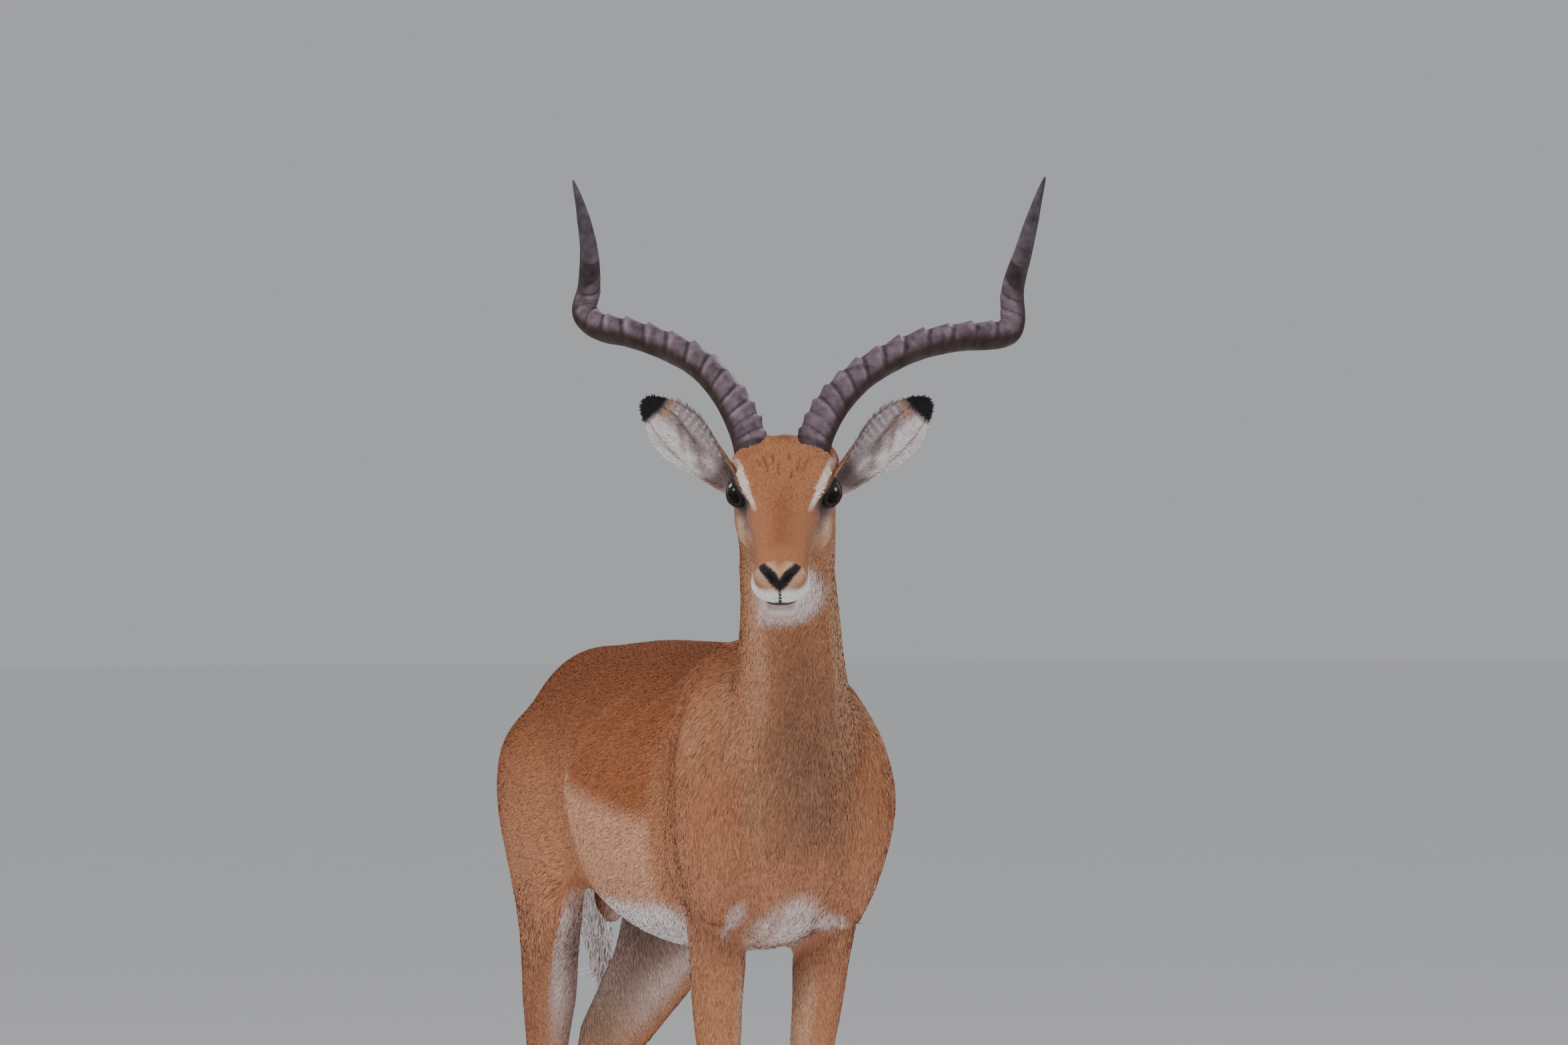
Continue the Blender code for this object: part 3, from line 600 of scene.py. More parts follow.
def distance_to_line(points, line, steps=6):
    """Distance, in a plane or in space, from each point to a smooth line through a few points."""
    line = smooth_rows(line, steps)
    best = np.full(len(points), FAR)
    for start, end in zip(line, line[1:]):
        along = end - start
        t = np.clip((points - start) @ along / (along @ along), 0, 1)
        best = np.minimum(best, np.linalg.norm(points - start - t[:, None] * along, axis=1))
    return best


def body_relief(points):
    """How far muscle edges, ribs and hollows stand out of the smooth forms."""
    x, y, z = points.T
    flat = points[:, 1:]
    flank = ramp(np.abs(x), 0.045, 0.075) * (headward(points) < -0.05) * ramp(z, 0.50, 0.58)
    relief = np.zeros(len(points))
    for line, height, reach in BODY_RIDGES:
        relief += flank * height * bell(distance_to_line(flat, line), reach)
    middle_y, middle_z, reach, depth = FLANK_HOLLOW
    away = np.hypot((y - middle_y) * 1.3, z - middle_z)
    relief += flank * depth * bell(away, reach)
    ribs = window(y, 0.12, 0.18, 0.40, 0.46) * window(z, 0.58, 0.62, 0.76, 0.80)
    relief += flank * ribs * RIB_HEIGHT * np.sin((y + 0.35 * (z - 0.7)) * 2 * math.pi / RIB_SPACING)
    # Cords down the front of the lower neck.
    neck = ramp(-headward(points), 0.02, 0.06) * ramp(-y, 0.0, 0.05) * ramp(z, 0.66, 0.72)
    relief += neck * THROAT_CORD * np.sin(x * 150 + 2.2 * np.sin(z * 22))
    return relief


def leg_relief(points):
    """The groove between the cannon bone and the tendons behind it."""
    x, y, z = points.T
    relief = np.zeros(len(points))
    for centre_x, centre_y, low, high in CANNONS:
        here = (np.abs(x - centre_x) < 0.03) & (np.abs(y - centre_y) < 0.05)
        tall = ramp(z, low, low + 0.03) * ramp(-z, -high, -high + 0.03)
        relief -= here * tall * CANNON_GROOVE * bump(y, centre_y + 0.003, 0.0055)
    return relief


# ---------------- the face
# Paths on the left half of the face, as side, back and up.
NOSTRIL = ((0.0010, -0.0030, -0.0180), (0.0070, -0.0020, -0.0115), (0.0125, 0.0005, -0.0055),
           (0.0175, 0.0040, -0.0005), (0.0203, 0.0085, 0.0010))
TEAR_GROOVE = ((0.0470, 0.1450, -0.0340), (0.0430, 0.1250, -0.0400), (0.0380, 0.1050, -0.0430))
CHEEK_BONE = ((0.0530, 0.1650, -0.0520), (0.0480, 0.1300, -0.0520), (0.0400, 0.0950, -0.0480))
TEMPLE = ((0.0500, 0.2000, -0.0280), (0.0480, 0.2080, -0.0420))
MOUTH_UP, MOUTH_SLOPE, MOUTH_CORNER = -0.0455, 0.10, 0.064

# The opening of the lids, in the head's own axes on the left: where the eye looks, and along its slit.
GAZE = unit((0.86, -0.48, 0.36))
SLIT = unit(np.array((0.0, 1.0, 0.06)) - GAZE * (np.array((0.0, 1.0, 0.06)) @ GAZE))
LIFT = np.cross(GAZE, SLIT) * -1
OPEN_FRONT, OPEN_BACK, OPEN_ABOVE, OPEN_BELOW = (math.radians(a) for a in (58, 52, 33, 31))
LID_THICK, LID_REACH = 0.0014, 0.042
SOCKET_DEPTH = 0.0035        # how far the skin inside the opening lies behind the ball's surface


def path_distance(left, path):
    """Distance in space to a path on the face."""
    return distance_to_line(left, path, 4)


def folded(head_points):
    """Both halves of the face laid on its left half."""
    out = head_points.copy()
    out[:, 0] = np.abs(out[:, 0])
    return out


def mouth_line(left):
    """Signed height over the mouth's line, and how present the line is there."""
    _, back, up = left.T
    line = MOUTH_UP - MOUTH_SLOPE * np.clip(back, 0, 1)
    return up - line, ramp(-back, -MOUTH_CORNER, -MOUTH_CORNER + 0.012)


def lid_measure(left):
    """How far a direction from the eye is out of its opening: 1 on the rim. Also its distance and facing."""
    offset = left - EYE_CENTRE
    distance = np.linalg.norm(offset, axis=1)
    facing = offset @ GAZE
    level = np.arctan2(offset @ SLIT, facing)
    height = np.arctan2(offset @ LIFT, np.hypot(facing, offset @ SLIT))
    reach = np.where(level > 0, OPEN_BACK, OPEN_FRONT)
    tall = np.where(height > 0, OPEN_ABOVE, OPEN_BELOW)
    return np.hypot(level / reach, height / tall), distance, facing / np.maximum(distance, 1e-6)


def face_relief(left):
    """How far the face's forms stand out of the head's plain shape."""
    side, back, up = left.T
    relief = np.zeros(len(left))
    nostril = path_distance(left, NOSTRIL)
    hole = ramp(side, 0.002, 0.007)
    relief -= 0.0045 * hole * bell(nostril, 0.0023)
    relief += 0.0012 * bell(nostril - 0.0062, 0.0028) * ramp(up, -0.020, -0.012)
    front = fall(back, 0.004, 0.020)
    parting = front * bell(side, 0.0010) * ramp(up, -0.050, -0.044) * ramp(-up, 0.012, 0.018)
    relief -= 0.0020 * parting
    over, present = mouth_line(left)
    relief -= 0.0030 * present * bell(over, 0.0014)
    lip = present * fall(back, 0.010, 0.055)
    relief += 0.0016 * lip * bell(over - 0.0105, 0.0080) * ramp(side, 0.002, 0.010)
    relief -= 0.0016 * lip * window(over, -0.014, -0.006, -0.002, 0.0005)
    relief -= 0.0022 * bell(path_distance(left, TEAR_GROOVE), 0.0060)
    relief += 0.0022 * bell(path_distance(left, CHEEK_BONE), 0.0080)
    relief -= 0.0022 * bell(path_distance(left, TEMPLE), 0.0100)
    return relief


def lidded(left):
    """The skin near the eye laid over the ball up to the rim of the lids, and sunk behind it inside."""
    measure, distance, facing = lid_measure(left)
    rim = EYE_RADIUS + LID_THICK
    crease = 0.0009 * bell(measure - 1.42, 0.10)
    cover = rim + 0.0012 * ramp(measure, 1.0, 1.7) - crease
    hold = 1 - ramp(measure, 1.05, np.where(distance > cover, 1.60, 2.10))
    laid = distance + (cover - distance) * hold
    laid = np.maximum(laid, rim)
    laid = np.where(measure < 0.98, EYE_RADIUS - SOCKET_DEPTH, laid)
    near = (distance < LID_REACH) & (facing > -0.15)
    laid = np.where(near, laid, distance)
    scale = laid / np.maximum(distance, 1e-6)
    return EYE_CENTRE + (left - EYE_CENTRE) * scale[:, None]


def coat_depth(points, left, ahead):
    """How deep the coat is over the skin."""
    _, y, z = points.T
    body = BODY_DEPTH + 0.0015 * ramp(z, 0.62, 0.72) * ramp(-y, 0.02, 0.08)
    depth = body + (LEG_DEPTH - body) * fall(z, 0.42, 0.56)
    face = FACE_DEPTH - 0.0012 * fall(left[:, 1], 0.020, 0.090)
    return depth + (face - depth) * ramp(ahead, -0.03, 0.01)


def body_skin():
    """The skin of head, neck, trunk and legs in one piece, in the working frame."""
    forms = [trunk(), neck(), scrotum(), *head()]
    for name, side in SIDES:
        forms += [shoulder(side), foreleg(name, side), hind_leg(name, side), pedicle(name, side)]
    skin = joined("skin", forms)
    modify(skin, "REMESH", mode="VOXEL", voxel_size=SKIN_VOXEL, adaptivity=0)
    modify(skin, "SMOOTH", factor=0.5, iterations=FINE_SMOOTHING)
    baked(skin)
    refine(skin, lambda p: headward(p) > -0.004)
    refine(skin, lambda p: face_front(p, 0.072) | near_eye(p, 0.036))
    refine(skin, lambda p: face_front(p, 0.024) | near_eye(p, 0.027))

    mesh = skin.data
    points, edges = points_of(mesh), edges_of(mesh)
    ahead = headward(points)
    height = points[:, 2]
    blend = window(height, 0.52, 0.62, 0.90, 0.98)
    points = relaxed(points, edges, blend, BLEND_SMOOTHING)
    points = relaxed(points, edges, ramp(ahead, -0.01, 0.01), 6)
    put_points(mesh, points)
    normals, ahead = normals_of(mesh), headward(points)
    on_face = ramp(ahead, 0.0, 0.02)
    left = folded(head_coordinates(points))
    relief = (body_relief(points) + leg_relief(points)) * (1 - on_face) + face_relief(left) * on_face
    points = points + normals * (relief - coat_depth(points, left, ahead))[:, None]

    # Lids are laid last, on each half of the face in turn.
    in_head = head_coordinates(points)
    sign = np.sign(in_head[:, 0])
    laid = lidded(folded(in_head))
    laid[:, 0] *= sign
    points = np.where((ahead > 0.02)[:, None], off_head(laid), points)
    put_points(mesh, points)
    modify(skin, "DECIMATE", ratio=SKIN_SHARE)
    triangulated(skin)
    skin.data.shade_smooth()
    return skin


# ---------------- the coat's markings
RUFOUS = (0.240, 0.083, 0.035)
SADDLE = (0.165, 0.053, 0.022)
TAN = (0.345, 0.155, 0.084)
BREAST_TAN = (0.325, 0.146, 0.084)
FLANK_TAN = (0.430, 0.225, 0.140)
WHITE = (0.640, 0.600, 0.610)
BROW_WHITE = (0.580, 0.480, 0.440)
NECK_BROWN = (0.290, 0.128, 0.066)
NECK_GREY = (0.150, 0.082, 0.056)
PALE = (0.520, 0.350, 0.245)
FACE_RED = (0.295, 0.120, 0.060)
FACE_DARK = (0.190, 0.066, 0.034)
CHEEK_GREY = (0.265, 0.160, 0.116)
CHEEK_TAN = (0.290, 0.148, 0.086)
DARK_HAIR = (0.060, 0.034, 0.026)
BLACK = (0.011, 0.010, 0.012)
EAR_RED = tuple(1.1 * value for value in RUFOUS)
EAR_GREY = (0.290, 0.235, 0.245)
TEAR_GREY = (0.105, 0.078, 0.078)
NOSE_BROWN = (0.050, 0.030, 0.026)
HORN_BROWN = (0.027, 0.014, 0.012)
# Painted sheen and highlight for the horns' lit side, and painted shade for their gaps and undersides.
HORN_SHEEN = (0.112, 0.078, 0.100)
HORN_HIGHLIGHT = (0.190, 0.140, 0.162)
HORN_SHADE = (0.011, 0.007, 0.007)
HORN_TIP = (0.060, 0.050, 0.060)

# Marks laid on the face from straight ahead: side from the middle, and height over the floor.
BROW_STRIPE = (
    (0.0505, 1.057), (0.0470, 1.043), (0.0425, 1.0325), (0.0380, 1.022), (0.0340, 1.014), (0.0300, 1.004),
)
# Line of painted shade down each side of the nose's bridge.
BRIDGE_SHADE = ((0.0350, 1.002), (0.0370, 0.985), (0.0330, 0.962), (0.0300, 0.948))
CHEEK_STRIPE = ((0.0490, 1.000), (0.0465, 0.980), (0.0420, 0.958), (0.0350, 0.938))
NOSTRIL_FRONT = ((0.0000, 0.9215), (0.0070, 0.9285), (0.0150, 0.9360), (0.0192, 0.9420), (0.0203, 0.9455))
DASHES = (
    ((-0.0225, 1.0585), (-0.0170, 1.0440)), ((-0.0280, 1.0560), (-0.0245, 1.0480)),
    ((-0.0062, 1.0532), (-0.0045, 1.0400)), ((0.0182, 1.0594), (0.0150, 1.0440)),
    ((0.0275, 1.0594), (0.0203, 1.0450)), ((0.0100, 1.0440), (0.0085, 1.0360)),
    ((-0.0130, 1.0620), (-0.0110, 1.0540)), ((0.0060, 1.0640), (0.0050, 1.0570)),
)


# Line of a painted highlight along the fold where the thigh's front meets the flank.
THIGH_FOLD_HIGHLIGHT = ((0.400, 0.710), (0.378, 0.640), (0.368, 0.585), (0.395, 0.545))


class Paint:
    """A colour for each of many points, with more colours laid over it where a mask says so."""

    def __init__(self, colour, count):
        """One colour everywhere."""
        self.rgb = np.tile(np.array(colour), (count, 1))

    def lay(self, colour, mask):
        """Lays a colour over the present one, all of it where the mask is 1."""
        self.rgb = self.rgb + (np.array(colour) - self.rgb) * np.clip(mask, 0, 1)[:, None]


def blended(below, above, share):
    """Rows of numbers that go from `below` to `above` with `share`."""
    return below + (above - below) * share[:, None]


def ellipse(a, b, middle_a, middle_b, reach_a, reach_b, soft=0.3):
    """1 inside an oval in the plane of a and b, easing to 0 across its edge."""
    away = np.hypot((a - middle_a) / reach_a, (b - middle_b) / reach_b)
    return 1 - ramp(away, 1 - soft, 1 + soft)


def body_markings(points, normals):
    """Rufous saddle, tan flanks and legs, white belly, breast and inner thighs."""
    coat = Paint(TAN, len(points))
    paint_back(coat, points)
    paint_underside(coat, points, normals)
    paint_breast(coat, points)
    paint_rump_and_legs(coat, points, normals)
    return coat.rgb


def paint_back(coat, points):
    """The rufous back over the tan flank and shoulder, with faint painted highlights along the muscle edges
    and along the thigh's front fold.
    """
    x, y, z = points.T
    flat = points[:, 1:]
    barrel = ramp(y, 0.10, 0.14) * fall(y - 0.25 * (z - 0.62), 0.345, 0.405)
    edge = 0.655 + 0.035 * ramp(y, 0.10, 0.45)
    on_barrel = ramp(z, edge - 0.016, edge + 0.018)
    on_thigh = ramp(z, 0.60, 0.80) * 0.9 + 0.10
    on_shoulder = ramp(z, 0.58, 0.77) * 0.66 + 0.12
    behind_ribs = ramp(y, 0.42, 0.50)
    saddle = on_shoulder + (on_thigh - on_shoulder) * behind_ribs
    saddle = saddle + (on_barrel - saddle) * barrel
    coat.lay(BREAST_TAN, fall(y, 0.02, 0.10) * ramp(z, 0.44, 0.56))
    coat.lay(FLANK_TAN, barrel * ramp(z, 0.52, 0.58))
    coat.lay(RUFOUS, saddle)
    coat.lay(SADDLE, ramp(z, 0.70, 0.82) * 0.85 * ramp(y, 0.06, 0.14))
    # Painted highlight: paler coat along the first four raised lines, the edges of the shoulder and ribs.
    for line, _, reach in BODY_RIDGES[:4]:
        near = bell(distance_to_line(flat, line), reach * 0.75)
        coat.lay(FLANK_TAN, near * 0.08 * ramp(np.abs(x), 0.06, 0.09))
    # Painted highlight along the thigh's front fold.
    fold = distance_to_line(flat, THIGH_FOLD_HIGHLIGHT)
    coat.lay(PALE, 0.24 * bell(fold, 0.010) * ramp(np.abs(x), 0.05, 0.08))


def paint_underside(coat, points, normals):
    """White belly and groin, pale inner legs, and painted shade in the hollow between the thighs."""
    x, y, z = points.T
    inward = -normals[:, 0] * np.sign(x)
    belly = window(z, 0.455, 0.495, 0.548, 0.572) * window(y, 0.05, 0.14, 0.60, 0.66)
    belly *= ramp(-normals[:, 2], -0.05, 0.20)
    belly *= 1 - ramp(y, 0.350, 0.430) * ramp(np.abs(x), 0.020, 0.060)
    groin = ramp(inward, 0.15, 0.50) * window(z, 0.36, 0.46, 0.52, 0.60) * ramp(y, 0.40, 0.46)
    inner_leg = ramp(inward, 0.30, 0.75) * fall(z, 0.46, 0.52)
    thigh_front = ramp(-normals[:, 1], 0.4, 0.8) * ramp(inward, -0.15, 0.30) * fall(z, 0.54, 0.58)
    thigh_front *= ramp(z, 0.34, 0.46) * ramp(y, 0.38, 0.42)
    coat.lay(PALE, inner_leg * 0.42)
    coat.lay(WHITE, np.maximum(belly * 0.90, groin * 0.40))
    coat.lay(WHITE, thigh_front * 0.42)
    # Painted shade on the inner faces of the hind legs, where they face each other.
    shade_between_thighs = ramp(inward, 0.50, 0.90) * window(z, 0.30, 0.40, 0.50, 0.56) * ramp(y, 0.42, 0.47)
    coat.lay(NECK_GREY, shade_between_thighs * 0.60)


def paint_breast(coat, points):
    """Broken white patches low on the breast, between the forelegs."""
    x, y, z = points.T
    ahead_of_legs = fall(y, 0.04, 0.09)
    breast = ellipse(x, z, 0.000, 0.541, 0.036, 0.034, 0.45)
    armpit = ellipse(x + 0.6 * (z - 0.548), z, 0.050, 0.548, 0.020, 0.012, 0.5)
    spot = ellipse(x, z, -0.062, 0.552, 0.010, 0.018, 0.5)
    median = 1 - 0.45 * bump(x, -0.020, 0.010)
    patch = np.maximum(np.maximum(breast * median, armpit * 0.8), spot * 0.75)
    coat.lay(WHITE, patch * ahead_of_legs * 0.60)


def paint_rump_and_legs(coat, points, normals):
    """White between dark bars down the buttocks, darker shins, and dark hair behind the hind pasterns."""
    x, y, z = points.T
    behind = ramp(y + 0.40 * np.clip(0.66 - z, 0, 1), 0.745, 0.785)
    behind *= window(z, 0.49, 0.60, 0.74, 0.80)
    coat.lay(WHITE, behind * fall(np.abs(x), 0.030, 0.040) * 0.9)
    coat.lay(BLACK, behind * bump(np.abs(x), 0.046, 0.013) * 0.95)
    shin = ramp(-normals[:, 1], 0.3, 0.9) * fall(z, 0.26, 0.34)
    coat.lay(RUFOUS, shin * 0.40)
    heel = ramp(normals[:, 1], 0.2, 0.8) * fall(z, 0.10, 0.14) * ramp(y, 0.40, 0.50)
    coat.lay(BLACK, heel * 0.95)
    coat.lay(DARK_HAIR, fall(z, 0.043, 0.052))


def neck_markings(points, normals):
    """Grey-brown, dark and woolly low on the throat, rufous along the nape, pale down the sides."""
    x, _, z = points.T
    coat = Paint(NECK_BROWN, len(points))
    nape = ramp(normals[:, 1], -0.10, 0.45)
    coat.lay(RUFOUS, nape * 0.9)
    in_front = ramp(-normals[:, 1], 0.15, 0.85)
    uneven = 0.75 + 0.35 * mottled(points * (1.0, 1.0, 0.35), 0.016, 5)
    low = ellipse(x, z, -0.008, 0.712, 0.058, 0.100, 0.8)
    coat.lay(NECK_GREY, in_front * low * 0.85 * uneven)
    high = window(z, 0.74, 0.84, 0.86, 0.93) * fall(np.abs(x + 0.02), 0.01, 0.06)
    coat.lay(NECK_GREY, in_front * high * 0.28 * uneven)
    sides = ramp(np.abs(normals[:, 0]), 0.50, 0.85) * fall(normals[:, 1], -0.3, 0.2)
    coat.lay(PALE, sides * (0.08 + 0.16 * ramp(z, 0.74, 0.84)))
    bib = ellipse(x, z, -0.061, 0.915, 0.047, 0.031, 0.35) * in_front
    coat.lay(WHITE, bib * (0.74 + 0.14 * mottled(points * (1.0, 1.0, 0.3), 0.02, 8)))
    return coat.rgb


def face_height(left):
    """Height over the floor of points given in the head's own axes."""
    return NOSE_TIP.z + 0.643 * left[:, 1] + 0.766 * left[:, 2]


def head_markings(in_head):
    """Red face with white brows, lips and chin, pale cheeks, dark tear marks, nose and mouth."""
    left = folded(in_head)
    height = face_height(left)
    seen = np.stack([left[:, 0], height], -1)
    coat = Paint(FACE_RED, len(left))
    paint_cheeks(coat, left, seen)
    paint_eye(coat, left, seen)
    paint_forehead(coat, in_head, height)
    paint_muzzle(coat, left, seen)
    paint_nose_and_mouth(coat, left, seen)
    return coat.rgb


def paint_cheeks(coat, left, seen):
    """Greyish cheeks, the dark bridge of the nose with painted shade down its sides, a pale stripe under the
    eye, and the white underside.
    """
    side, back, up = left.T
    ahead = ramp(up, -0.050, -0.030)
    coat.lay(CHEEK_GREY, 0.75 * ramp(-up, 0.016, 0.040))
    coat.lay(CHEEK_TAN, ramp(-up, 0.042, 0.066) * ramp(back, 0.06, 0.10) * 0.85)
    coat.lay(TAN, ramp(back, 0.17, 0.21) * ramp(-up, 0.03, 0.06) * 0.6)
    jaw_angle = ramp(-up, 0.048, 0.072) * window(back, 0.085, 0.115, 0.16, 0.20)
    coat.lay(NECK_BROWN, 0.70 * jaw_angle)
    bridge = bump(side, 0.0, 0.022) * window(back, 0.030, 0.050, 0.110, 0.160)
    coat.lay(FACE_DARK, 0.60 * bridge * ramp(up, -0.012, -0.004))
    # Painted shade down the sides of the bridge.
    coat.lay(FACE_DARK, 0.45 * bell(distance_to_line(seen, BRIDGE_SHADE), 0.0050) * ahead)
    stripe = bell(distance_to_line(seen, CHEEK_STRIPE), 0.0060) * fall(back, 0.14, 0.155)
    coat.lay(PALE, 0.70 * stripe * ramp(seen[:, 1], 0.950, 0.982))
    under = ramp(-up, 0.072, 0.088) * fall(back, 0.110, 0.150)
    coat.lay(WHITE, under * 0.9 * fall(side, 0.018, 0.032))


def paint_eye(coat, left, seen):
    """The dark tear mark and ring round the eye, and the white brow over it."""
    side, back, up = left.T
    height = seen[:, 1]
    coat.lay(TEAR_GREY, 0.90 * bell(path_distance(left, TEAR_GROOVE[:2]), 0.0085))
    corner = ellipse(side, height, 0.0410, 1.0080, 0.0060, 0.0110, 0.5)
    coat.lay(TEAR_GREY, 0.85 * corner * ramp(up, -0.050, -0.030))
    measure, distance, facing = lid_measure(left)
    around = fall(distance, 0.024, 0.036) * ramp(facing, -0.25, 0.10)
    coat.lay(TEAR_GREY, around * 0.70 * fall(measure, 1.70, 2.30))
    coat.lay(DARK_HAIR, around * 0.85 * fall(measure, 1.35, 1.75))
    brow = distance_to_line(seen, BROW_STRIPE)
    broad = 0.0018 + 0.0016 * ramp(height, 1.010, 1.040)
    on_brow = fall(brow, broad - 0.0012, broad + 0.0022)
    on_brow *= ramp(up, -0.034, -0.022) * ramp(back, 0.09, 0.10)
    fading = (0.35 + 0.65 * ramp(height, 1.002, 1.014)) * (1 - 0.5 * ramp(height, 1.042, 1.056))
    coat.lay(BROW_WHITE, 0.92 * on_brow * fading * ramp(measure, 1.25, 1.45))
    coat.lay(BLACK, around * fall(measure, 1.18, 1.36))


def paint_forehead(coat, in_head, height):
    """Forehead dashes, and the dark whorl between the horns."""
    side, back, up = in_head.T
    seen = np.stack([side, height], -1)
    on_forehead = ramp(up, -0.020, -0.008) * ramp(back, 0.10, 0.12)
    for line in DASHES:
        coat.lay(DARK_HAIR, 0.55 * bell(distance_to_line(seen, line), 0.0014) * on_forehead)
    whorl = ellipse(side, back, 0.0, HORN_BACK + 0.002, 0.007, 0.008, 0.6)
    coat.lay(DARK_HAIR, 0.35 * whorl * ramp(up, -0.010, 0.0))


def to_nostril(left, seen):
    """Distance from the nostril's line, seen from straight ahead."""
    return distance_to_line(seen, NOSTRIL_FRONT) + 1.0 * ramp(left[:, 1], 0.018, 0.030)


def paint_muzzle(coat, left, seen):
    """Pale hair round the nose, white lips, and a white chin that is greyer in the middle, with a tan band
    on its underside that is partly the chin's tan hair and partly painted shadow under the chin.
    """
    side, back, _ = left.T
    nostril = to_nostril(left, seen)
    over, present = mouth_line(left)
    coat.lay(PALE, 0.60 * fall(nostril, 0.0080, 0.0175) * fall(back, 0.020, 0.032))
    pad = fall(back, 0.030, 0.060) * ramp(over, -0.0005, 0.0015)
    coat.lay(WHITE, pad * fall(over, 0.0150, 0.0250) * ramp(nostril, 0.0050, 0.0095))
    chin = fall(over, -0.0010, 0.0005) * fall(back, 0.060, 0.090)
    coat.lay(WHITE, chin * 0.80)
    coat.lay(CHEEK_GREY, 0.65 * chin * ramp(over, -0.019, -0.008) * fall(side, 0.012, 0.020))
    # Tan on the chin's underside: partly its own tan hair, partly painted shadow under the chin.
    coat.lay(CHEEK_TAN, 0.60 * chin * ramp(-over, 0.015, 0.024) * fall(back, 0.035, 0.055))
    fold = present * ramp(back, 0.012, 0.020) * fall(np.abs(over), 0.0010, 0.0035)
    coat.lay(CHEEK_GREY, fold * 0.6)


def paint_nose_and_mouth(coat, left, seen):
    """The black nose in a brown edge with painted shade below the nostrils, the cleft under the nose, and
    the line of the mouth.
    """
    side, back, up = left.T
    nostril = to_nostril(left, seen)
    over, present = mouth_line(left)
    thick = 0.0028 + 0.0020 * bump(side, 0.0075, 0.0105)
    # Painted shade below the nostrils, grey fading toward the lip.
    edge = ramp(-nostril, -thick - 0.0052, -thick) * fall(seen[:, 1], 0.924, 0.938)
    coat.lay(TEAR_GREY, 0.50 * edge)
    coat.lay(NOSE_BROWN, ramp(-nostril, -thick - 0.0030, -thick - 0.0006))
    coat.lay(BLACK, ramp(-nostril, -thick - 0.0010, -thick + 0.0004))
    cleft = fall(back, 0.006, 0.016) * fall(side, 0.0014, 0.0023)
    coat.lay(BLACK, cleft * ramp(up, -0.0480, -0.0455) * ramp(-up, 0.014, 0.016))
    thick = 0.0015 + 0.0014 * fall(side, 0.008, 0.022)
    line = present * ramp(-np.abs(over + thick - 0.0012), -thick - 0.0008, -thick)
    coat.lay(BLACK, 0.92 * line * fall(back, 0.036, 0.064))


def coat_colour(points, normals):
    """Colour of the coat at points of the body's surface, in the working frame."""
    ahead = headward(points)
    on_neck = fall(ahead, -0.02, 0.01)
    body = body_markings(points, normals)
    x, y, z = points.T
    rising = ramp(z - 0.55 * y, 0.70, 0.76) * fall(y, -0.02, 0.06)
    low_front = fall(y, -0.03, 0.02) * ramp(z, 0.585, 0.64) * fall(np.abs(x), 0.065, 0.095)
    out = blended(body, neck_markings(points, normals), np.maximum(rising, low_front))
    return blended(out, head_markings(head_coordinates(points)), 1 - on_neck)


def mottled(points, grain, seed):
    """Slow uneven variation from -1 to 1, made of a few crossing waves."""
    dice = np.random.default_rng(seed)
    out = np.zeros(len(points))
    for _ in range(6):
        heading = unit(dice.normal(size=3))
        wavelength = grain * dice.uniform(0.6, 1.7)
        out += np.sin(points @ heading * 2 * math.pi / wavelength + dice.uniform(0, 6.3))
    return out / 6


def write_colours(mesh, colours):
    """Writes a colour at each vertex, in the layer that the materials read."""
    layer = mesh.color_attributes.new("Coat", "FLOAT_COLOR", "POINT")
    rgba = np.ones((len(colours), 4), np.float32)
    rgba[:, :3] = np.clip(colours, 0, 1)
    layer.data.foreach_set("color", rgba.ravel())


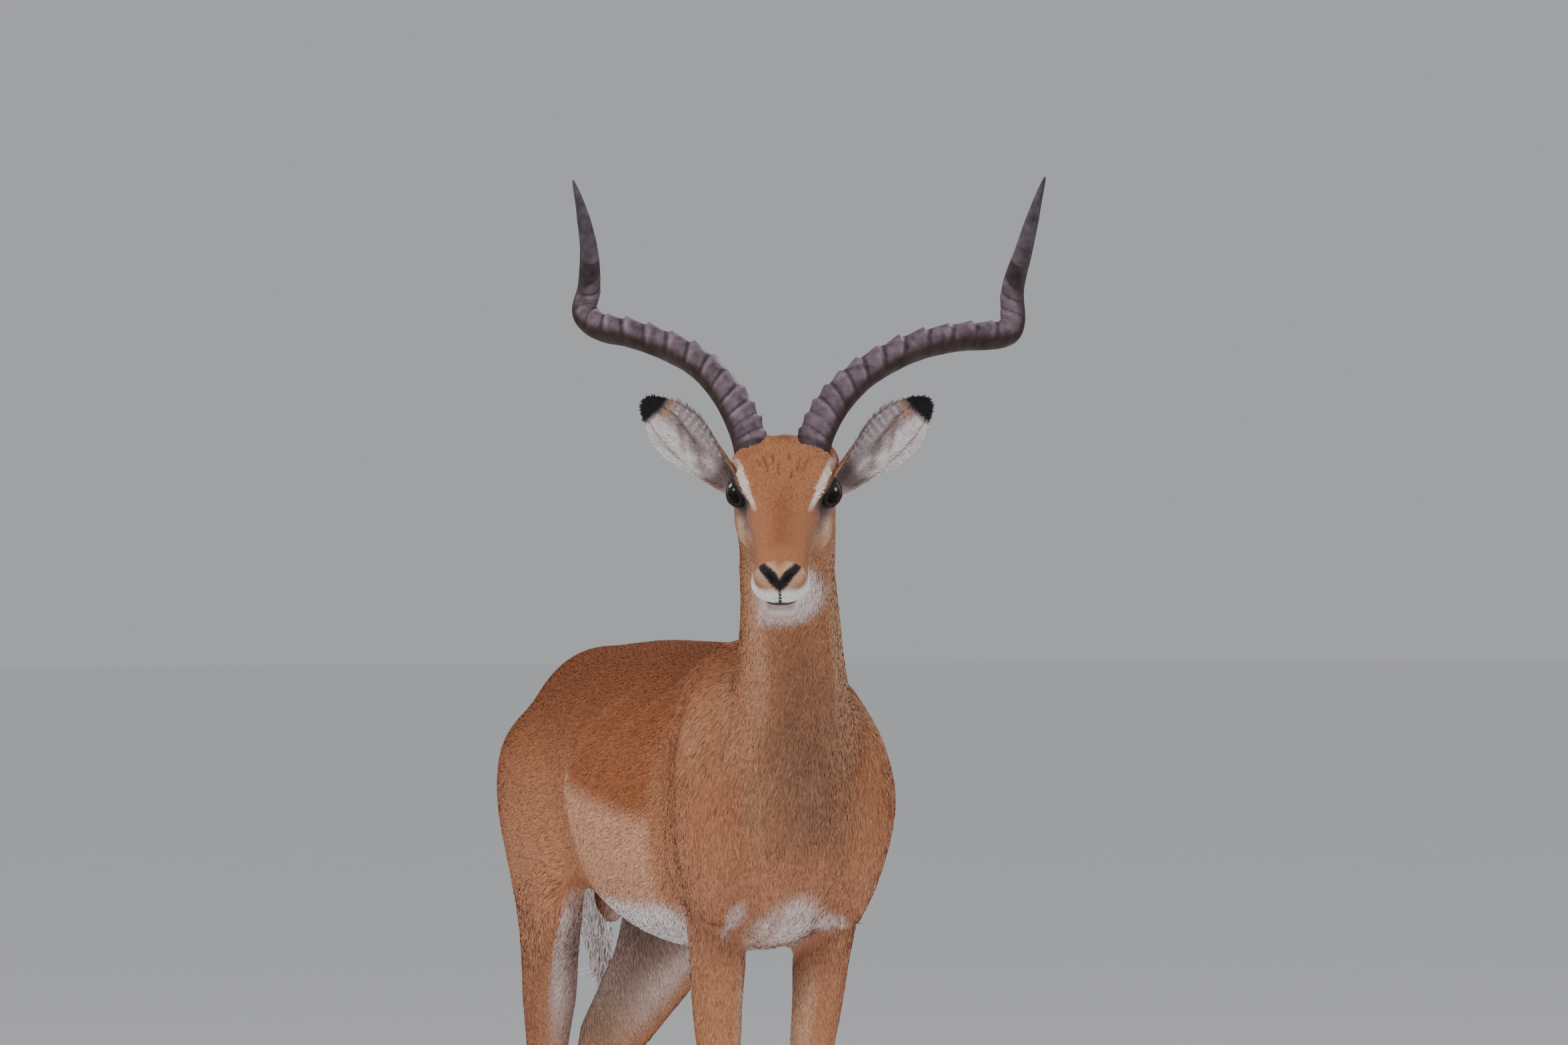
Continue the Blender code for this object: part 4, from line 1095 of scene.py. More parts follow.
# ---------------- materials
class Look:
    """A Principled material, and the nodes that feed it."""

    def __init__(self, name, roughness, **settings):
        """Settings name the sockets of the shader, with spaces as underscores."""
        self.material = bpy.data.materials.new(name)
        self.material.use_nodes = True
        self.tree = self.material.node_tree
        self.shader = self.tree.nodes["Principled BSDF"]
        self.shader.inputs["Roughness"].default_value = roughness
        for key, value in settings.items():
            self.shader.inputs[key.replace("_", " ")].default_value = value

    def node(self, kind, **values):
        """A new node. Values name its sockets, with spaces as underscores."""
        made = self.tree.nodes.new(kind)
        for key, value in values.items():
            made.inputs[key.replace("_", " ")].default_value = value
        return made

    def feed(self, source, socket):
        """Feeds a value to a socket of the shader."""
        self.tree.links.new(source, self.shader.inputs[socket])

    def noise(self, scale, detail=3.0, stretch=None):
        """Noise in the object's own metres, stretched where asked."""
        source = self.node("ShaderNodeTexCoord").outputs["Object"]
        if stretch:
            mapping = self.node("ShaderNodeMapping", Scale=stretch)
            self.tree.links.new(source, mapping.inputs["Vector"])
            source = mapping.outputs["Vector"]
        out = self.node("ShaderNodeTexNoise", Scale=scale, Detail=detail)
        self.tree.links.new(source, out.inputs["Vector"])
        return out.outputs["Fac"]

    def spread(self, source, low, high, source_low=0.3, source_high=0.7):
        """Spreads the middle of a 0 to 1 value over low to high."""
        source_range = {"From_Min": source_low, "From_Max": source_high}
        out = self.node("ShaderNodeMapRange", **source_range, To_Min=low, To_Max=high)
        self.tree.links.new(source, out.inputs["Value"])
        return out.outputs["Result"]

    def colour_by_mesh(self, shade):
        """Takes the colour written on the mesh, times a shade."""
        colour = self.node("ShaderNodeVertexColor")
        colour.layer_name = "Coat"
        out = self.node("ShaderNodeVectorMath")
        out.operation = "SCALE"
        self.tree.links.new(colour.outputs["Color"], out.inputs[0])
        self.tree.links.new(shade, out.inputs["Scale"])
        self.feed(out.outputs["Vector"], "Base Color")

    def tint(self, source, dark, pale):
        """Colours the material from dark to pale by a 0 to 1 value."""
        out = self.node("ShaderNodeValToRGB")
        for stop, colour in zip(out.color_ramp.elements, (dark, pale)):
            stop.color = (*colour, 1)
        self.tree.links.new(source, out.inputs["Fac"])
        self.feed(out.outputs["Color"], "Base Color")

    def bump(self, height, distance, strength):
        """Raises the surface by a 0 to 1 height."""
        out = self.node("ShaderNodeBump", Distance=distance, Strength=strength)
        self.tree.links.new(height, out.inputs["Height"])
        self.feed(out.outputs["Normal"], "Normal")


def skin_material():
    """Short coat on the skin under the tufts, varied finely by noise."""
    look = Look("coat", 0.78, Sheen_Weight=0.04, Sheen_Roughness=0.45, Specular_IOR_Level=0.14)
    fine = look.noise(700.0)
    look.colour_by_mesh(look.spread(fine, 0.82, 1.16))
    look.bump(fine, 0.0006, 0.5)
    return look.material


def hair_material():
    """Tufts of hair, streaked along their length, with hardly any gloss."""
    look = Look("hair", 0.78, Specular_IOR_Level=0.08)
    look.colour_by_mesh(look.spread(look.noise(1500.0, 2.0, (1.0, 1.0, 0.2)), 0.85, 1.14))
    return look.material


def horn_material():
    """Dull horn with cloudy colour and a fine grain."""
    look = Look("horn", 0.50, Specular_IOR_Level=0.12)
    look.colour_by_mesh(look.spread(look.noise(90.0, 4.0), 0.50, 1.42))
    look.feed(look.spread(look.noise(60.0), 0.46, 0.68), "Roughness")
    look.bump(look.noise(420.0, 4.0), 0.0005, 0.45)
    return look.material


def hoof_material():
    """Black horn with level lines of growth."""
    look = Look("hoof", 0.42, Coat_Weight=0.10, Coat_Roughness=0.35)
    growth = look.noise(26.0, 4.0, (1.0, 1.0, 9.0))
    look.tint(growth, (0.008, 0.007, 0.007), (0.050, 0.042, 0.038))
    look.bump(growth, 0.0012, 0.5)
    return look.material


def eye_material():
    """Very dark brown, and wet in its upper half, where it shows the light."""
    look = Look("eye", 0.08)
    parted = look.node("ShaderNodeSeparateXYZ")
    look.tree.links.new(look.node("ShaderNodeTexCoord").outputs["Generated"], parted.inputs["Vector"])
    look.feed(look.spread(parted.outputs["Z"], 0.02, 0.60, 0.42, 0.60), "Specular IOR Level")
    look.tint(look.noise(320.0, 4.0), (0.0035, 0.0025, 0.0025), (0.013, 0.007, 0.005))
    return look.material


def lid_material():
    """Black bare skin."""
    look = Look("lid", 0.50, Specular_IOR_Level=0.15)
    grain = look.noise(900.0)
    look.tint(grain, (0.004, 0.003, 0.003), (0.016, 0.011, 0.010))
    look.bump(grain, 0.0004, 0.5)
    return look.material


def floor_material():
    """Pale matt floor."""
    look = Look("floor", 0.75)
    look.tint(look.noise(4.0), (0.93, 0.925, 0.92), (0.96, 0.955, 0.95))
    return look.material


# ---------------- horns
# Out from the middle of the poll, back, and up. The pair isn't quite even, as on a living animal.
HORN_PATHS = {
    "right": (
        (0.0330, 0.002, -0.026), (0.0430, 0.016, 0.010), (0.0640, 0.040, 0.049), (0.0955, 0.076, 0.082),
        (0.1300, 0.108, 0.101), (0.1710, 0.144, 0.116), (0.2080, 0.178, 0.1245), (0.2270, 0.195, 0.141),
        (0.2220, 0.196, 0.170), (0.2215, 0.167, 0.212), (0.2285, 0.140, 0.254), (0.2370, 0.121, 0.286),
    ),
    "left": (
        (0.0270, 0.000, -0.026), (0.0370, 0.012, 0.008), (0.0560, 0.032, 0.041), (0.0860, 0.062, 0.071),
        (0.1340, 0.103, 0.098), (0.1865, 0.146, 0.112), (0.2370, 0.188, 0.116), (0.2510, 0.200, 0.129),
        (0.2515, 0.199, 0.167), (0.2640, 0.170, 0.211), (0.2785, 0.140, 0.263), (0.2870, 0.127, 0.290),
    ),
}
HORN_RADII = (
    (0.00, 0.0200), (0.12, 0.0190), (0.25, 0.0168), (0.45, 0.0153), (0.62, 0.0148), (0.70, 0.0135),
    (0.80, 0.0108), (0.90, 0.0075), (0.97, 0.0036), (1.00, 0.0012),
)
RING_SPACING = (
    (0.00, 0.013), (0.12, 0.019), (0.25, 0.030), (0.42, 0.036), (0.56, 0.031), (0.68, 0.018), (1.00, 0.016),
)
RINGS_FROM, RINGS_TO = 0.05, 0.80
RING_FOOT, RING_LIP, LIP_AT, LIP_END = -0.060, 0.105, 0.70, 0.88
RING_SLANT, MOST_RINGS = 0.42, 80
HORN_SIDES, HORN_GRAIN = 40, 0.0017


def horn_foot(name, side):
    """Where a horn's line starts, inside its pedicle."""
    return np.array(on_head(*HORN_MIDDLE)) + np.array(CROWN) @ (HORN_PATHS[name][0] * np.array((side, 1, 1)))


def horn_line(name, side):
    """Fine stations down a horn: share of its length, middle, direction, and the number of the ring."""
    path = smooth_rows(HORN_PATHS[name], 8) * (side, 1, 1)
    path = path @ np.array(CROWN).T + np.array(on_head(*HORN_MIDDLE))
    lengths = np.concatenate([[0], np.cumsum(np.linalg.norm(np.diff(path, axis=0), axis=1))])
    total = lengths[-1]

    def at(along):
        """Places this far along the path."""
        return np.stack([np.interp(along, lengths, path[:, k]) for k in range(3)], -1)

    along = np.linspace(0, total, int(total / HORN_GRAIN))
    share = along / total
    spacing = np.interp(share, *zip(*RING_SPACING))
    ring_number = np.concatenate([[0], np.cumsum(np.diff(along) / spacing[1:])])
    tangents = unit(at(np.clip(along + 0.004, 0, total)) - at(np.clip(along - 0.004, 0, total)))
    return share, at(along), tangents, ring_number


def horn(name, side):
    """A lyre horn. Its rings rise slowly, drop at a lip, run aslant and are strongest in front."""
    turn = np.array(CROWN)
    angles = np.arange(HORN_SIDES) * 2 * math.pi / HORN_SIDES
    strength = np.random.default_rng(SEED + side).uniform(0.7, 1.25, MOST_RINGS)
    side_axis, rings, tones = turn @ np.array((side, 0.0, 0.0)), [], []
    facing = turn @ unit((-0.45 * side, -0.50, 0.60))
    for share, centre, tangent, ring_number in zip(*horn_line(name, side)):
        side_axis = unit(side_axis - tangent * (side_axis @ tangent))
        deep = np.cross(tangent, side_axis)
        outward = np.outer(np.cos(angles), side_axis) + np.outer(np.sin(angles), deep)
        front = 0.5 + 0.5 * (outward @ facing)
        number = ring_number + RING_SLANT * (outward @ unit((0.7 * side, -0.4, -0.2)))
        phase = number % 1
        rise = RING_FOOT + (RING_LIP - RING_FOOT) * np.clip(phase / LIP_AT, 0, 1) ** 1.5
        swell = rise + (RING_FOOT - rise) * ramp(phase, LIP_AT, LIP_END)
        fade = ramp(share, RINGS_FROM - 0.03, RINGS_FROM + 0.05) * ramp(-share, -RINGS_TO, -RINGS_TO + 0.22)
        raised = 0.06 + 1.25 * ramp(front, 0.30, 0.90)
        lift = swell * fade * raised * strength[np.clip(number, 0, MOST_RINGS - 1).astype(int)]
        grooves = 0.010 * np.sin(angles * 13 + 3 * np.sin(share * 21)) * (1 - 0.6 * ramp(share, 0.7, 0.9))
        radius = np.interp(share, *zip(*HORN_RADII)) * (1 + lift + grooves)
        ring = centre + outward * radius[:, None] + np.outer(np.sin(angles), deep) * 0.1 * radius[:, None]
        rings.append(ring)
        lip = bell(phase - LIP_AT, 0.12) * fade
        tones.append(np.stack([lip, np.full_like(lip, share), front, phase * fade], -1))
    made = loft("horn_skin_" + name, rings)
    write_colours(made.data, horn_colour(np.vstack(tones)))
    put_points(made.data, moved(points_of(made.data)))
    return made


def horn_colour(tones):
    """Brown, with painted sheen on the side that faces up, forward and inward, painted highlights on the
    lips of the rings there, and painted shade in the gaps between the rings and underneath.
    """
    lip, share, front, phase = tones.T
    coat = Paint(HORN_BROWN, len(lip))
    # Painted sheen on the side that faces up, forward and inward.
    coat.lay(HORN_SHEEN, 0.90 * ramp(front, 0.44, 0.74))
    coat.lay(HORN_TIP, 0.8 * ramp(share, 0.62, 0.86))
    # Painted highlight on the lips of the rings, on the lit side.
    coat.lay(HORN_HIGHLIGHT, 0.60 * lip * ramp(front, 0.45, 0.85))
    # Painted shade in the gaps between the rings, on the lit side.
    gap_shade = np.maximum(ramp(phase, LIP_AT + 0.10, 0.94), fall(phase, 0.02, 0.10) * (phase > 0))
    coat.lay(HORN_SHADE, 0.66 * gap_shade * ramp(front, 0.25, 0.60))
    # Painted shade on the horn's underside.
    coat.lay(HORN_SHADE, 0.60 * fall(front, 0.10, 0.40))
    return coat.rgb


# ---------------- hooves, eyes and lids
HOOVES = {
    "fore_right": (-0.054, 0.050, 4),
    "fore_left": (0.054, 0.050, 4),
    "hind_right": (-0.065, 0.674, 12),
    "hind_left": (0.056, 0.860, 12),
}
CLAW_OFFSET, TOE_IN = 0.0113, 0.06
CORNEA_RISE = 0.035
RIM_STEPS, RIM_SIDES = 96, 10


def claw(leg, place):
    """One claw of a cloven hoof: flat below, its front wall sloping back up to the coronet."""
    x, y, degrees = HOOVES[leg]
    side = 1 if x > 0 else -1
    sense = side if place == "outer" else -side
    turn = Matrix.Rotation(math.radians(degrees) * side, 3, "Z")
    toe_in = Matrix.Rotation(-TOE_IN * sense, 3, "Z")
    across, along = turn @ toe_in @ Vector((1, 0, 0)), turn @ toe_in @ Vector((0, 1, 0))
    #          height  front   back   half width, from the middle of the coronet
    sections = (
        (0.0000, -0.049, 0.016, 0.0096),
        (0.0012, -0.050, 0.017, 0.0103),
        (0.0080, -0.048, 0.019, 0.0107),
        (0.0240, -0.036, 0.020, 0.0102),
        (0.0385, -0.026, 0.019, 0.0094),
        (0.0420, -0.023, 0.017, 0.0080),
    )
    rings = []
    for z, front, back, half_width in smooth_rows(sections, 5):
        centre = Vector((x, y, z)) + turn @ Vector((sense * CLAW_OFFSET, (front + back) / 2, 0))
        rings.append(oval(centre, across, along, half_width, (back - front) / 2, 2.5, 0, 32))
    made = loft(f"hoof_{leg}_{place}", rings)
    points = points_of(made.data)
    points[:, 2] = np.maximum(points[:, 2], 0)
    put_points(made.data, moved(points))
    return made


def eyeball(name, side):
    """A ball with a slightly raised cornea where it looks."""
    made = ellipsoid("eyeball_" + name, (0, 0, 0), (EYE_RADIUS,) * 3, segments=64, rings=40)
    points = points_of(made.data)
    gaze = np.array(head_axes()) @ (GAZE * (side, 1, 1))
    cornea = ramp(unit(points) @ gaze, 0.80, 1.0)
    points = points * (1 + CORNEA_RISE * cornea)[:, None] + EYES[name]
    put_points(made.data, moved(points))
    return made


def lid_rim(name, side):
    """A soft dark rim round the opening of the lids, with a bead at the front corner."""
    turns = np.arange(RIM_STEPS) * 2 * math.pi / RIM_STEPS
    level = np.cos(turns) * np.where(np.cos(turns) > 0, OPEN_BACK, OPEN_FRONT)
    height = np.sin(turns) * np.where(np.sin(turns) > 0, OPEN_ABOVE, OPEN_BELOW)
    heading = (
        np.outer(np.cos(height) * np.cos(level), GAZE)
        + np.outer(np.cos(height) * np.sin(level), SLIT)
        + np.outer(np.sin(height), LIFT)
    )
    line = EYE_CENTRE + heading * (EYE_RADIUS + 0.0002)
    across = np.cross(unit(np.roll(line, -1, 0) - np.roll(line, 1, 0)), heading)
    thick = 0.0009 + 0.0007 * np.maximum(0, -np.cos(turns)) ** 4
    rings = []
    for angle in np.arange(RIM_SIDES) * 2 * math.pi / RIM_SIDES:
        offset = across * math.cos(angle) * 1.25 + heading * math.sin(angle)
        rings.append(line + offset * thick[:, None])
    points = off_head((np.stack(rings, 1) * (side, 1, 1)).reshape(-1, 3))
    count = RIM_STEPS * RIM_SIDES
    faces = [tuple(i % count for i in face) for face in ring_faces(RIM_STEPS + 1, RIM_SIDES)]
    return add_mesh("lid_rim_" + name, moved(points), faces)


# ---------------- ears
EAR_LENGTH = 0.139
EAR_COLUMNS = 37
EAR_HAIRS = 9000
EAR_STREAK = ((0.84, 0.16), (0.72, 0.14), (0.56, 0.06), (0.46, 0.02))

#  share of length, radius of the curl, roll in radians
EAR_SECTIONS = (
    (-0.14, 0.0080, 1.95), (0.00, 0.0140, 1.92), (0.12, 0.0172, 1.75), (0.28, 0.0232, 1.38),
    (0.45, 0.0330, 1.03), (0.62, 0.0388, 0.83), (0.78, 0.0352, 0.72), (0.90, 0.0258, 0.66),
    (0.97, 0.0150, 0.62), (1.00, 0.0050, 0.58),
)


def ear_axes(side):
    """Root of an ear, with its axis outward, the way its cup opens, and across."""
    root = on_head(side * 0.056, 0.228, -0.062)
    outward = CROWN @ Vector((side * 0.69, 0.30, 0.615)).normalized()
    opening = (CROWN @ Vector((side * 0.28, -0.94, -0.06))).normalized()
    opening = (opening - opening.project(outward)).normalized()
    return [np.array(v) for v in (root, outward, opening, outward.cross(opening) * side)]


def ear(name, side):
    """A cupped leaf, rolled at its root, with fine ribs inside and a thin edge."""
    root, outward, opening, across = ear_axes(side)
    turns = np.linspace(-1, 1, EAR_COLUMNS)
    rings, cells = [], []
    for share, radius, roll in smooth_rows(EAR_SECTIONS, 8):
        middle = root + outward * EAR_LENGTH * share - opening * (0.012 * math.sin(math.pi * share) - 0.010)
        angles = roll * turns
        facing = -np.outer(np.sin(angles), across) + np.outer(np.cos(angles), opening)
        row = middle + np.outer(np.sin(angles), across) * radius
        row += np.outer(1 - np.cos(angles), opening) * radius
        thick = (0.0004 + 0.0014 * (1 - np.abs(turns) ** 4)) * (1 - 0.55 * share)
        rib = 0.0005 * np.sin(turns * 24) * window(share, 0.10, 0.25, 0.75, 0.95)
        inner = row + facing * (thick + rib * (1 - np.abs(turns)))[:, None]
        outer = row - facing * thick[:, None]
        rings.append(np.vstack([inner, outer[::-1]]))
        around = -np.concatenate([turns, turns[::-1]])
        inside = np.repeat((1.0, 0.0), EAR_COLUMNS)
        cells.append(np.stack([np.full_like(around, share), around, inside], -1))
    made = loft("ear_skin_" + name, rings)
    triangulated(made)
    made.data.shade_smooth()
    return made, np.vstack(cells)


def ear_hair(name, side, made, cells, look):
    """Short hair on the back of the ear, and longer pale hair lying outward inside it."""
    points, normals, triangles = shape_of(made.data)
    dice = np.random.default_rng(SEED + 40 + side)
    middle = cells[triangles].mean(1)
    weights = np.where(middle[:, 2] > 0.5, 1.3, 1.0) * (middle[:, 0] > -0.02)
    picked = scattered(points, triangles, weights, EAR_HAIRS, dice)
    roots, facing = mixed(points[triangles], *picked), unit(mixed(normals[triangles], *picked))
    spots, cell = mixed(plain_unwrap(points, triangles), *picked), mixed(cells[triangles], *picked)
    share, place, inner = cell.T
    _, outward, _, across = ear_axes(side)
    inside = inner > 0.5
    lie = outward - across * np.where(inside, 0.55 * place, 0.12 * place)[:, None]
    fringe = inside & (np.abs(place) > 0.55) & (share < 0.75)
    length = np.where(inside, 0.0055, 0.0040) + 0.0025 * fringe - 0.002 * ramp(share, 0.70, 0.9)
    size = (length, 0.0009, length * 0.12)
    grown = tufts("coat_ear_" + name, roots, facing, lie, size, ear_colour(cell), spots, dice)
    finish(grown, look, "ear_coat")


def ear_colour(cells):
    """Colour over the ear from share of length, place across from -1 below to 1 above, and inside or out."""
    share, across, inside = cells.T
    outside = Paint(EAR_RED, len(cells))
    outside.lay(TAN, 0.6 * ramp(np.abs(across), 0.6, 0.95))
    outside.lay(CHEEK_TAN, fall(share, 0.06, 0.34))
    outside.lay(BLACK, ramp(share, 0.78, 0.86))
    within = Paint(EAR_GREY, len(cells))
    ribs = ramp(np.sin(share * 95 + across * 6), -0.2, 0.9) * ramp(across, 0.15, 0.45)
    within.lay(WHITE, 0.45 * ribs)
    within.lay(WHITE, 0.66 * fall(across, -0.22, 0.02) * ramp(share, 0.08, 0.24))
    within.lay(DARK_HAIR, 0.62 * bump(across, -0.78 + 0.10 * share, 0.085) * ramp(share, 0.32, 0.45))
    streak = distance_to_line(cells[:, :2] * (1.0, 0.42), EAR_STREAK)
    within.lay(DARK_HAIR, 0.66 * bell(streak, 0.034))
    within.lay(DARK_HAIR, 0.62 * ellipse(share, across, 0.40, -0.12, 0.10, 0.20, 0.6))
    within.lay(DARK_HAIR, 0.55 * ellipse(share, across, 0.25, -0.42, 0.09, 0.22, 0.6))
    patches = mottled(np.stack([share, across * 0.30, 0 * share], -1), 0.20, 9)
    blotches = ramp(patches, 0.02, 0.40) * fall(np.abs(across + 0.1), 0.25, 0.55) * fall(share, 0.6, 0.75)
    within.lay(NECK_GREY, 0.66 * blotches)
    within.lay(DARK_HAIR, 0.75 * ellipse(share, across, 0.04, 0.0, 0.12, 0.9, 0.6))
    within.lay(DARK_HAIR, 0.55 * ramp(across, 0.84, 0.96))
    within.lay(TAN, 0.60 * bump(share, 0.79, 0.08) * ramp(across, -0.6, 0.2))
    within.lay(BLACK, ramp(share + 0.02 * across, 0.80, 0.87))
    return blended(outside.rgb, within.rgb, inside)


# ---------------- tail
#    x      y      z      half width  half depth
TAIL_PATH = (
    (0.000, 0.790, 0.785, 0.016, 0.013),
    (0.003, 0.822, 0.787, 0.018, 0.013),
    (0.008, 0.850, 0.765, 0.019, 0.012),
    (0.014, 0.868, 0.710, 0.021, 0.010),
    (0.023, 0.874, 0.645, 0.024, 0.011),
    (0.034, 0.876, 0.575, 0.026, 0.012),
    (0.045, 0.874, 0.515, 0.022, 0.011),
    (0.054, 0.870, 0.462, 0.008, 0.006),
)
TAIL_CORE = 0.62             # the core's share of the tail's thickness, hair and all
TAIL_HAIRS = 9000


def tail_core():
    """The tail under its hair."""
    slim = [(x, y, z, across * TAIL_CORE, deep * TAIL_CORE) for x, y, z, across, deep in TAIL_PATH]
    made = tube("tail_core", slim, (1, 0, 0), sides=20, steps=6)
    triangulated(made)
    return made


def tail_colour(points, normals):
    """White, with a dark line down the back and a rufous root."""
    x, _, z = points.T
    rows = np.array(TAIL_PATH[1:])
    middle = np.interp(-z, -rows[:, 2], rows[:, 0])
    coat = Paint(WHITE, len(points))
    above = ramp(normals[:, 1], 0.0, 0.5)
    coat.lay(RUFOUS, ramp(z, 0.70, 0.76) * ramp(normals[:, 1] + normals[:, 2], -0.2, 0.4))
    coat.lay(BLACK, 0.92 * bump(x, middle, 0.0055) * above * ramp(z, 0.47, 0.50))
    return coat.rgb


def tail_hair(core, look):
    """Hair lying down the tail, longest in the loose brush at its end."""
    points, normals, triangles = shape_of(core.data)
    dice = np.random.default_rng(SEED + 60)
    weights = 1 + 2.2 * ramp(-points[triangles].mean(1)[:, 2], -0.60, -0.48)
    picked = scattered(points, triangles, weights, TAIL_HAIRS, dice)
    roots, facing = mixed(points[triangles], *picked), unit(mixed(normals[triangles], *picked))
    spots = mixed(plain_unwrap(points, triangles), *picked)
    end = fall(roots[:, 2], 0.50, 0.66)
    lie = np.array((0.13, 0.02, -1.0)) + facing * (0.10 + 0.16 * end)[:, None]
    length = 0.016 + 0.022 * end
    size = (length, 0.0017, length * 0.14)
    grown = tufts("coat_tail", roots, facing, lie, size, tail_colour(roots, facing), spots, dice)
    finish(grown, look, "tail_coat")


# ---------------- pieces
def finish(piece, look, slot, *nodes):
    """Gives a piece its look, lets it ride, and hides the CAD nodes it stands for. Its slot is not used."""
    piece.data.materials.clear()
    piece.data.materials.append(look)
    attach(piece, "root")
    if nodes:
        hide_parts(*nodes)


# ---------------- unwrap
CHART_GAP = 0.004
PATCH = 0.0015               # half the side of a tuft's own patch on the unwrap
LARGEST_CHARTS = 40.0        # scale that is tried first, which then shrinks till all charts fit


def shelves(sizes, scale):
    """Lower left corners of boxes set out in rows, or None where they don't fit the unit square."""
    corners, x, y, row = {}, 0.0, 0.0, 0.0
    for key in sorted(sizes, key=lambda k: -sizes[k][1]):
        width, height = sizes[key] * scale + CHART_GAP
        if x + width > 1:
            x, y, row = 0.0, y + row, 0.0
        if x + width > 1 or y + height > 1:
            return None
        corners[key] = (x + CHART_GAP / 2, y + CHART_GAP / 2)
        x, row = x + width, max(row, height)
    return corners


def unwrap(points, triangles, regions, enlarged=1.0):
    """Places of triangle corners on flat charts, one for each region and facing. Region 0 is enlarged."""
    corners = points[triangles]
    facing = np.cross(corners[:, 1] - corners[:, 0], corners[:, 2] - corners[:, 0])
    axis = np.abs(facing).argmax(1)
    ahead = np.take_along_axis(facing, axis[:, None], 1)[:, 0] > 0
    chart = regions * 6 + axis * 2 + ahead
    kept = np.array(((1, 2), (0, 2), (0, 1)))[axis]
    flat = np.take_along_axis(corners, np.repeat(kept[:, None, :], 3, 1), 2)
    flat = flat * np.where(regions == 0, enlarged, 1.0)[:, None, None]
    lows, sizes = {}, {}
    for key in np.unique(chart):
        inside = flat[chart == key].reshape(-1, 2)
        lows[key] = inside.min(0)
        sizes[key] = np.ptp(inside, axis=0)
    scale = LARGEST_CHARTS
    while shelves(sizes, scale) is None:
        scale *= 0.96
    out = np.empty_like(flat)
    for key, corner in shelves(sizes, scale).items():
        chosen = chart == key
        out[chosen] = (flat[chosen] - lows[key]) * scale + corner
    return out


def plain_unwrap(points, triangles):
    """An unwrap with all triangles in one region."""
    return unwrap(points, triangles, np.zeros(len(triangles), int))


def write_unwrap(mesh, corner_places):
    """Writes the map that the bake uses."""
    layer = mesh.uv_layers.new(name="OFBake")
    layer.data.foreach_set("uv", corner_places.astype(np.float32).ravel())


# ---------------- coat
#           name             slot          regions   hairs     width of a tuft
COATS = (
    ("coat_head", "head_coat", (0,), 62000, 0.00115),
    ("coat_neck", "neck_coat", (1,), 52000, 0.0018),
    ("coat_trunk_left", "trunk_coat", (2,), 52000, 0.0022),
    ("coat_trunk_right", "trunk_coat", (3,), 52000, 0.0022),
    ("coat_chest", "trunk_coat", (4,), 34000, 0.0021),
    ("coat_forelegs", "leg_coat", (5, 6), 34000, 0.0016),
    ("coat_hind_legs", "leg_coat", (7, 8), 46000, 0.0016),
)
BODY_HAIR, LEG_HAIR, NOSE_HAIR, LID_HAIR = 0.0125, 0.0075, 0.0028, 0.0024      # lengths
THROAT_EXTRA, HEEL_EXTRA = 0.006, 0.010
HOOF_LINE, HORN_BARE, NOSE_BARE = 0.0445, 0.0165, 0.0042       # where the coat stops
STRAY = 0.13                 # how far tufts stray from the lie of the coat
ROOT_DEPTH = 0.0002
SHADE_SPREAD, WARMTH_SPREAD = 0.15, 0.03
TONE_ALONG = (0.86, 0.86, 1.0, 1.0, 1.14)      # darker at the root than at the tip


def region_of(points):
    """0 head, 1 neck, 2 to 4 trunk, 5 and 6 forelegs, 7 and 8 hind legs."""
    x, y, z = points.T
    region = np.where(x > 0, 2, 3)
    region = np.where((y < 0.10) & (z > 0.50), 4, region)
    region = np.where(z - 0.55 * y > 0.79, 1, region)
    low = z < 0.56 - 0.06 * window(y, 0.15, 0.25, 0.50, 0.62)
    region = np.where(low & (y < 0.36), np.where(x > 0, 5, 6), region)
    region = np.where(low & (y >= 0.36), np.where(x > 0, 7, 8), region)
    return np.where(headward(points) > 0.0, 0, region)


def coat_lie(points):
    """Which way the hair lies at points of the skin, before it is turned into the surface."""
    _, y, z = points.T
    out = np.tile((0.0, 1.0, -0.32), (len(points), 1))
    for lie, share in (
        ((0.0, 0.45, -1.0), ramp(y, 0.62, 0.80)),
        ((0.0, 0.35, -1.0), fall(y, 0.04, 0.14)),
        ((0.0, 0.60, -1.0), ramp(z - 0.55 * y, 0.72, 0.84) * fall(y, 0.05, 0.20)),
        ((0.0, 0.12, -1.0), fall(z, 0.50, 0.60)),
    ):
        out = blended(out, np.array(lie), share)
    axes = np.array(head_axes())
    back = axes @ np.array((0.0, 1.0, 0.10))
    down = axes @ np.array((0.0, 0.9, -0.75))
    cheek = ramp(folded(head_coordinates(points))[:, 0], 0.020, 0.040)
    return blended(out, blended(back, down, cheek), ramp(headward(points), -0.02, 0.02))


def coat_length(points):
    """Long on body and throat, short on the legs, shorter on the face, with tufts at the hind heels."""
    _, y, z = points.T
    out = BODY_HAIR + 0.003 * fall(z, 0.56, 0.60)
    out = out + (LEG_HAIR - out) * fall(z, 0.44, 0.56)
    out = out + THROAT_EXTRA * window(z, 0.60, 0.66, 0.74, 0.82) * fall(y, -0.06, 0.02)
    out = out + HEEL_EXTRA * ramp(y, 0.40, 0.50) * bump(z, 0.125, 0.035)
    left = folded(head_coordinates(points))
    face = NOSE_HAIR + 0.0042 * ramp(left[:, 1], 0.02, 0.17)
    face = face + (LID_HAIR - face) * fall(lid_measure(left)[0], 1.3, 1.9)
    return out + (face - out) * ramp(headward(points), -0.02, 0.02)


